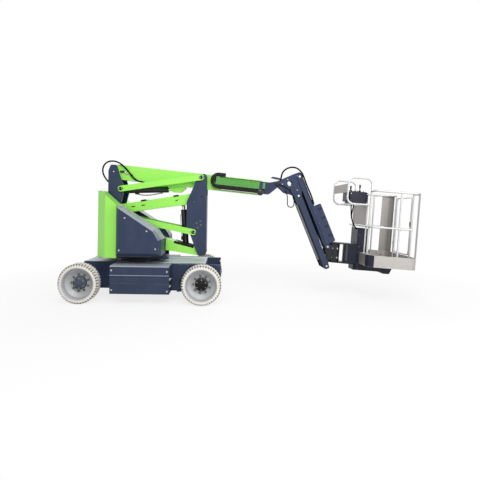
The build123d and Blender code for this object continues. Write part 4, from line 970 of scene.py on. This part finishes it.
class LIFT_OT_riser_trim(bpy.types.Operator):
    """Add the pin keepers, bolts, folds, pipe and cylinder fittings of the riser, with dark pieces of painted
    shade in the mast's holes, the lower arm's tray and the upper arm's slots
    """

    bl_idname = "lift.riser_trim"
    bl_label = "Riser trim"

    def execute(self, context):
        for name, member, along, body in (
            ("lower_link_keepers", LOWER_LINK, ARM_LENGTH, "lower_links"),
            ("upper_link_keepers_mast", UPPER_LINK, ARM_LENGTH, "upper_links"),
            ("upper_link_keepers_carrier", UPPER_LINK, 0.0, "upper_links"),
        ):
            outline = outline_on(member, [(along + reach, across) for reach, across in KEEPER])
            plate(name, "Black casting", body, outline, LINK_FACE + SKIN, LINK_FACE + KEEPER_SHEET, 0.0012)
            spots = [at(member, along + reach) for reach in (-0.021, 0.021)]
            flat_screws(name + "_screws", body, spots, LINK_FACE + KEEPER_SHEET, 0.0050, "Zinc")
        mast_bolts = ((-0.695, 1.122), (-0.632, 1.094), (-0.639, 1.156), (-0.678, 1.050))
        flat_screws("mast_bolts", "mast", mast_bolts, MAST_FACE, 0.009, "Dull steel")
        seams("mast_folds", "Navy paint", "mast", MAST_FACE, MAST_FOLDS, 0.018, 0.0042)
        shaped(mast_hole_painted_shade, "Black casting", "mast", smooth=True)
        # Black plate inside the lower arm's open tray: painted shade on the far plate's inner face
        outline = outline_on(LOWER_ARM, ((0.790, 0.0480), (1.098, 0.0340), (1.098, 0.0665), (0.790, 0.0805)))
        plate("tray_painted_shade", "Chain plastic", "lower_arm", outline, 0.0810, ARM_FACE + 0.0015)
        shaped(arm_slot_painted_shade, "Chain plastic", "upper_arm")
        shaped(riser_pipe, "Dull steel", "riser_barrel", smooth=True)
        shaped(riser_collar, "Black casting", "riser_barrel", smooth=True)
        for name, arm, start, end, across in (
            ("lower", LOWER_ARM, 0.12, 1.10, 0.062),
            ("upper", UPPER_ARM, 0.16, 1.12, 0.055),
        ):
            lines = [outline_on(arm, ((start, c), (end, c))) for c in (across, -across)]
            seams("arm_seams_" + name, "Green paint", name + "_arm", ARM_FACE, lines, 0.004, 0.0012)
        return {"FINISHED"}


def root_fittings(bm):
    """Add the pipe fittings at the boom's root."""
    for u, v in ((0.165, -0.045), (0.195, -0.062), (0.222, -0.040)):
        add_turned(bm, place(BOOM, u, v, -BOOM_FACE - SKIN), (0, -1, 0),
                   ((0, 0.012), (0.010, 0.012), (0.012, 0.008), (0.026, 0.008)), 14)
    route = ((0.165, -0.045, -0.124), (0.190, -0.072, -0.132), (0.222, -0.040, -0.124))
    add_tube(bm, [place(BOOM, *spot) for spot in route], 0.006)


def root_block(bm):
    """Add the two valve blocks beside the fittings."""
    foot = -BOOM_FACE - SEAM_SKIN
    for u, v, dx, dz, top in (
        (0.120, -0.040, 0.030, 0.014, -0.122),
        (0.270, -0.085, 0.016, 0.016, -0.118),
    ):
        x, z = at(BOOM, u, v)
        add_box(bm, (x - dx, top, z - dz), (x + dx, foot, z + dz), 0.003)


def boom_collars(bm):
    """Add the gland nut, the end cap and the valve block on the boom's lifting barrel."""
    add_collars(bm, BOOM_BARREL, 0.045, ((0.668, 0.022, 0.0015), (0.060, 0.030, 0.002)))
    x, z = at(BOOM_BARREL, 0.20)
    add_box(bm, (x - 0.030, -0.026, z - 0.066), (x + 0.030, 0.026, z - 0.036), 0.003)


def boom_wires(bm):
    """Add the pair of wires tied under the boom's barrel."""
    route = ((0.19, 0.050), (0.24, 0.066), (0.32, 0.078), (0.42, 0.074), (0.52, 0.058), (0.60, 0.046))
    for y, sag in ((-0.020, 0.0), (-0.006, 0.008)):
        add_tube(bm, [place(BOOM_BARREL, along, -drop - sag, y) for along, drop in route], 0.0035, 8)


def beam_folds(bm):
    """Add the folds and the cover joint of the hose beam."""
    for across in (0.030, -0.036):
        add_strip(bm, outline_on(CHAIN, ((0.03, across), (0.665, across))), BEAM_FACE, -1, 0.005, 0.0018)
    add_strip(bm, outline_on(CHAIN, ((0.505, -0.058), (0.505, 0.055))), BEAM_FACE, -1, 0.004, 0.0015)


def beam_end(bm):
    """Add the navy joint plate at the hose beam's end and its cover."""
    add_slab(bm, band_on(CHAIN, 0.6722, 0.6785, -0.060, 0.057), -0.112, -0.188, 0.002)
    add_slab(bm, band_on(CHAIN, 0.628, 0.6785, -0.0605, 0.0575), -0.1880, -0.1925, 0.001)


def tray_roller(bm):
    """Add the round cap at the chain tray's end."""
    add_turned(bm, place(CHAIN, 0.657, -0.112, -BEAM_FACE - SKIN), (0, -1, 0),
               ((0, 0.040), (0.003, 0.040), (0.005, 0.036)), 32)


def head_bosses(bm):
    """Add the rings at the head's levelling pin."""
    for side in BOTH:
        add_turned(bm, (0.540, side * (HEAD_FACE + SEAM_SKIN), 1.745), (0, side, 0),
                   ((0, 0.034), (0.006, 0.034), (0.008, 0.031)), 28)


class LIFT_OT_boom_trim(bpy.types.Operator):
    """Add the fittings, seams, screws and nose plates of the boom"""

    bl_idname = "lift.boom_trim"
    bl_label = "Boom trim"

    def execute(self, context):
        lines = [outline_on(BOOM, ((start, v), (2.24, v))) for start, v in ((0.30, -0.020), (0.62, -0.110))]
        seams("boom_seams", "Green paint", "boom_outer", BOOM_FACE, lines, 0.004, 0.0012)
        shaped(root_fittings, "Zinc", "boom_outer", smooth=True)
        shaped(root_block, "Black casting", "boom_outer", smooth=True)
        shaped(boom_collars, "Black casting", "boom_barrel", smooth=True)
        shaped(boom_wires, "Hose rubber", "boom_barrel", True)
        shaped(beam_folds, "Beam paint", "boom_inner")
        outline = band_on(CHAIN, 0.020, 0.628, 0.0490, 0.0590)
        plate("beam_edge", "Chain plastic", "boom_inner", outline, 0.1870, 0.1915, sides=(-1,))
        shaped(tray_roller, "Black gloss", "boom_outer", smooth=True)
        outline = band_on(CHAIN, 0.045, 0.610, -0.1345, -0.1290)
        plate("tray_lip", "Zinc", "boom_outer", outline, BEAM_FACE + SKIN, 0.1925, 0.0008, (-1,))
        shaped(beam_end, "Navy paint", "boom_inner")
        spots = grid_on(BOOM, (2.15, 2.225), (-0.13, 0.03))
        flat_screws("pad_screws", "boom_outer", spots, BOOM_FACE, 0.006, "Dull steel")
        plate("nose_plate", "Navy paint", "head", NOSE, 0.064, HEAD_FACE, 0.002)
        shaped(head_bosses, "Black casting", "head", smooth=True)
        spots = ((0.842, 1.872), (0.842, 1.648), (0.694, 1.812), (0.612, 1.738))
        flat_screws("head_screws", "head", spots, HEAD_FACE, 0.0055, "Zinc")
        pins = [((x, side * (JIB_FACE + SKIN), z), (0, side, 0), 0.012)
                for x, z in (JIB_LINK[0], JIB[0]) for side in BOTH]
        fasteners("head_pin_bolts", "head", pins, "Zinc", height=0.8)
        return {"FINISHED"}


def add_upright(bm, u, v, y, profile, count=24):
    """Add a turned solid that stands upright on the leaning platform."""
    add_turned(bm, place(PLATFORM, u, v, y), PLATFORM_UP, profile, count)


def rotator_rings(bm):
    """Add the flange rings at both ends of the rotator's casting."""
    for v in (-0.125, 0.097):
        add_upright(bm, 0, v, 0, ((0, 0.0870), (0.002, 0.0885), (0.016, 0.0885), (0.018, 0.0870)), 40)


class LIFT_OT_jib_trim(bpy.types.Operator):
    """Add the edge trims, screws, guard lining and rotator rings of the jib"""

    bl_idname = "lift.jib_trim"
    bl_label = "Jib trim"
    # Add the dark strips of painted shade along the jib's edges, and the screws, guard lining and rotator
    # rings of the jib

    def execute(self, context):
        # Black strips along one edge of each of the jib's flanks: painted shade
        outline = band_on(JIB, 0.12, 1.150, -0.0705, -0.0460)
        plate("jib_edge_painted_shade", "Chain plastic", "jib_arm", outline, 0.0905, JIB_FACE + 0.0015)
        outline = band_on(JIB_LINK, 0.530, 1.075, 0.072, 0.128)
        plate("guard_lining", "Chain plastic", "jib_link", outline, 0.0995, 0.1037, sides=(-1,))
        spots = grid_on(JIB_LINK, (0.61, 0.78, 0.95, 1.08), (0.012,))
        flat_screws("guard_screws", "jib_link", spots, GUARD_FACE, 0.0050, "Dull steel", both=False)
        spots = [at(JIB, JIB_LENGTH), at(JIB_LINK, JIB_LENGTH)]
        flat_screws("jib_tip_bolts", "jib_bracket", spots, JIB_FACE, 0.011, "Zinc")
        shaped(rotator_rings, "Black casting", "jib_bracket", smooth=True)
        bolts = []
        for across, out in ((-0.53, -0.848), (0.376, -0.927), (-0.53, 0.848), (0.376, 0.927)):
            for v in (0.059, -0.080):
                spot = place(PLATFORM, ROTATOR_RADIUS * across, v, ROTATOR_RADIUS * out)
                bolts.append((spot, (across, out, 0), 0.010))
        fasteners("rotator_bolts", "jib_bracket", bolts, "Zinc")
        return {"FINISHED"}


def post_feet(bm):
    """Add the foot rings and the weld collars of the posts."""
    for side in BOTH:
        for u, y, radius in ((POST_U, POST_Y, 0.013), (GATE_U, 0.290, 0.015)):
            add_upright(bm, u, FLOOR_TOP, side * y,
                        ((0, radius + 0.006), (0.005, radius + 0.005), (0.011, radius + 0.001)))
        for v, profile in (
            (0.938, ((0, 0.0135), (0.010, 0.0165), (0.014, 0.0165))),
            (0.422, COLLAR_PROFILE),
            (0.456, COLLAR_PROFILE),
        ):
            add_upright(bm, POST_U, v, side * POST_Y, profile)


def rail_gussets(bm):
    """Add the small plates that stiffen the rails' joints."""
    for side in BOTH:
        for corners in (
            ((0.700, 0.951), (0.752, 0.951), (0.752, 0.905)),
            ((0.776, 0.951), (0.828, 0.951), (0.776, 0.905)),
            ((0.776, 0.431), (0.816, 0.431), (0.776, 0.395)),
        ):
            add_slab(bm, outline_on(PLATFORM, corners), side * 0.5222, side * 0.5272, 0.0008)


def floor_tread(bm):
    """Add the raised bars of the tread plate on the floor, turned from row to row."""
    start_u, end_u, pitch_u, start_y, pitch_y, rise = 0.510, 1.02, 0.024, -0.500, 0.027, 0.0018
    for i in range(22):
        for j in range(38):
            turned = j % 2
            u = start_u + pitch_u * i + turned * pitch_u / 2
            y = start_y + pitch_y * j
            if u > end_u:
                continue
            du, dy = (0.008, 0.0035) if turned else (0.0035, 0.008)
            su, sy = (0.0016, -0.0032) if turned else (0.0032, -0.0016)
            corners = ((u - du, y - dy), (u + su, y + sy), (u + du, y + dy), (u - su, y - sy))
            low = [bm.verts.new(place(PLATFORM, a, FLOOR_TOP, b)) for a, b in corners]
            top = bm.verts.new(place(PLATFORM, u, FLOOR_TOP + rise, y))
            for k in range(4):
                bm.faces.new((low[k], low[(k + 1) % 4], top))
            bm.faces.new(low)


def corner_guards(bm):
    """Add the dark guards wrapped round the toe board's corners beside the post."""
    section = ((0.1049, -0.130), (0.1070, -0.130), (0.1070, 0.036), (0.1049, 0.036))
    mid_u, mid_y, start, turn, steps = 0.450, 0.440, 174, 86, 12
    angles = [math.radians(start + turn * i / steps) for i in range(steps + 1)]
    for side in BOTH:
        bridge(bm, [
            [bm.verts.new(place(PLATFORM, mid_u + r * math.cos(a), v, side * (r * math.sin(a) - mid_y)))
             for r, v in section]
            for a in angles])


def lever_boots(bm):
    """Add the rubber boots at the levers' feet."""
    for u in (0.144, 0.281):
        add_upright(bm, u, CONTROL_TOP, -0.150, (
            (0, 0.026), (0.004, 0.026), (0.007, 0.021), (0.011, 0.022), (0.014, 0.017), (0.018, 0.018),
            (0.022, 0.012), (0.030, 0.0095)), 28)


def switches(bm):
    """Add the switches on the control box."""
    for u, row in ((0.200, SWITCH_ROW), (0.228, SWITCH_ROW), (0.318, SWITCH_ROW[::2])):
        for y in row:
            add_upright(bm, u, PLATE_TOP, y, ((0, 0.009), (0.004, 0.009), (0.006, 0.006), (0.016, 0.005)), 16)


def switch_plate(bm):
    """Add the panel plate under the switches."""
    corners = ((0.185, -0.235), (0.246, -0.235), (0.246, -0.065), (0.185, -0.065))
    heights = (CONTROL_TOP - 0.0001, PLATE_TOP)
    bridge(bm, [[bm.verts.new(place(PLATFORM, u, v, y)) for u, y in corners] for v in heights])


def gate_latch(bm):
    """Add the latch at the gate's free end."""
    x, z = at(PLATFORM, GATE_U, 0.520)
    add_box(bm, (x - 0.014, -0.266, z - 0.035), (x + 0.014, -0.2405, z + 0.035), 0.003)


class LIFT_OT_platform_trim(bpy.types.Operator):
    """Add the feet, collars, gussets, rivets, tread, guards, switches and latch of the platform"""

    bl_idname = "lift.platform_trim"
    bl_label = "Platform trim"

    def execute(self, context):
        shaped(post_feet, "Rail paint", "platform", smooth=True)
        shaped(rail_gussets, "Rail paint", "platform")
        spots = grid_on(PLATFORM, (0.52, 0.64, 0.76, 0.88), (0.020, -0.108))
        form = {"sides": 12, "height": 0.4}
        flat_screws("skirt_rivets", "platform", spots, PLATFORM_FACE, 0.005, "Zinc", "aluminium", **form)
        shaped(floor_tread, "Brushed sheet", "platform")
        shaped(corner_guards, "Dark navy", "platform", smooth=True)
        shaped(lever_boots, "Chain plastic", "platform", smooth=True)
        shaped(switches, "Black gloss", "platform", smooth=True)
        shaped(switch_plate, "Brushed sheet", "platform")
        spots = grid_on(PLATFORM, (0.118, 0.360), (0.785, 0.915))
        form = {"both": False, "sides": 12, "height": 0.5}
        flat_screws("box_lid_screws", "platform", spots, CONTROL_FACE, 0.005, "Zinc", **form)
        spots = outline_on(PLATFORM, ((0.335, 0.30), (0.335, 0.12), (0.335, 0.04), (0.455, 0.20)))
        flat_screws("post_screws", "platform", spots, POST_FACE, 0.006, "Dull steel")
        shaped(gate_latch, "Black casting", "gate")
        return {"FINISHED"}


class LIFT_PT_panel(bpy.types.Panel):
    """Lists the dressing's steps in the sidebar"""

    bl_idname = "LIFT_PT_panel"
    bl_label = "Boom Lift"
    bl_space_type = "VIEW_3D"
    bl_region_type = "UI"
    bl_category = "Boom Lift"

    def draw(self, context):
        for group in (context.scene.lift_colours, context.scene.lift_sizes, context.scene.lift_stage):
            for name in group.__annotations__:
                self.layout.prop(group, name)
        for step in STEPS:
            self.layout.operator(step.bl_idname)


GROUPS = (("lift_colours", LiftColours), ("lift_sizes", LiftSizes), ("lift_stage", LiftStage))
STEPS = (
    LIFT_OT_stage, LIFT_OT_finishes, LIFT_OT_hoses, LIFT_OT_wheels, LIFT_OT_base_trim, LIFT_OT_cover_trim,
    LIFT_OT_riser_trim, LIFT_OT_boom_trim, LIFT_OT_jib_trim, LIFT_OT_platform_trim)


def register():
    """Register the groups, the operators and the panel."""
    for name, group in GROUPS:
        bpy.utils.register_class(group)
        setattr(bpy.types.Scene, name, bpy.props.PointerProperty(type=group))
    for step in STEPS:
        bpy.utils.register_class(step)
    bpy.utils.register_class(LIFT_PT_panel)


def unregister():
    """Undo register."""
    bpy.utils.unregister_class(LIFT_PT_panel)
    for step in reversed(STEPS):
        bpy.utils.unregister_class(step)
    for name, group in reversed(GROUPS):
        delattr(bpy.types.Scene, name)
        bpy.utils.unregister_class(group)


def main():
    """Register and run every step."""
    register()
    for step in STEPS:
        area, name = step.bl_idname.split(".")
        getattr(getattr(bpy.ops, area), name)()


if __name__ == "__main__":
    main()
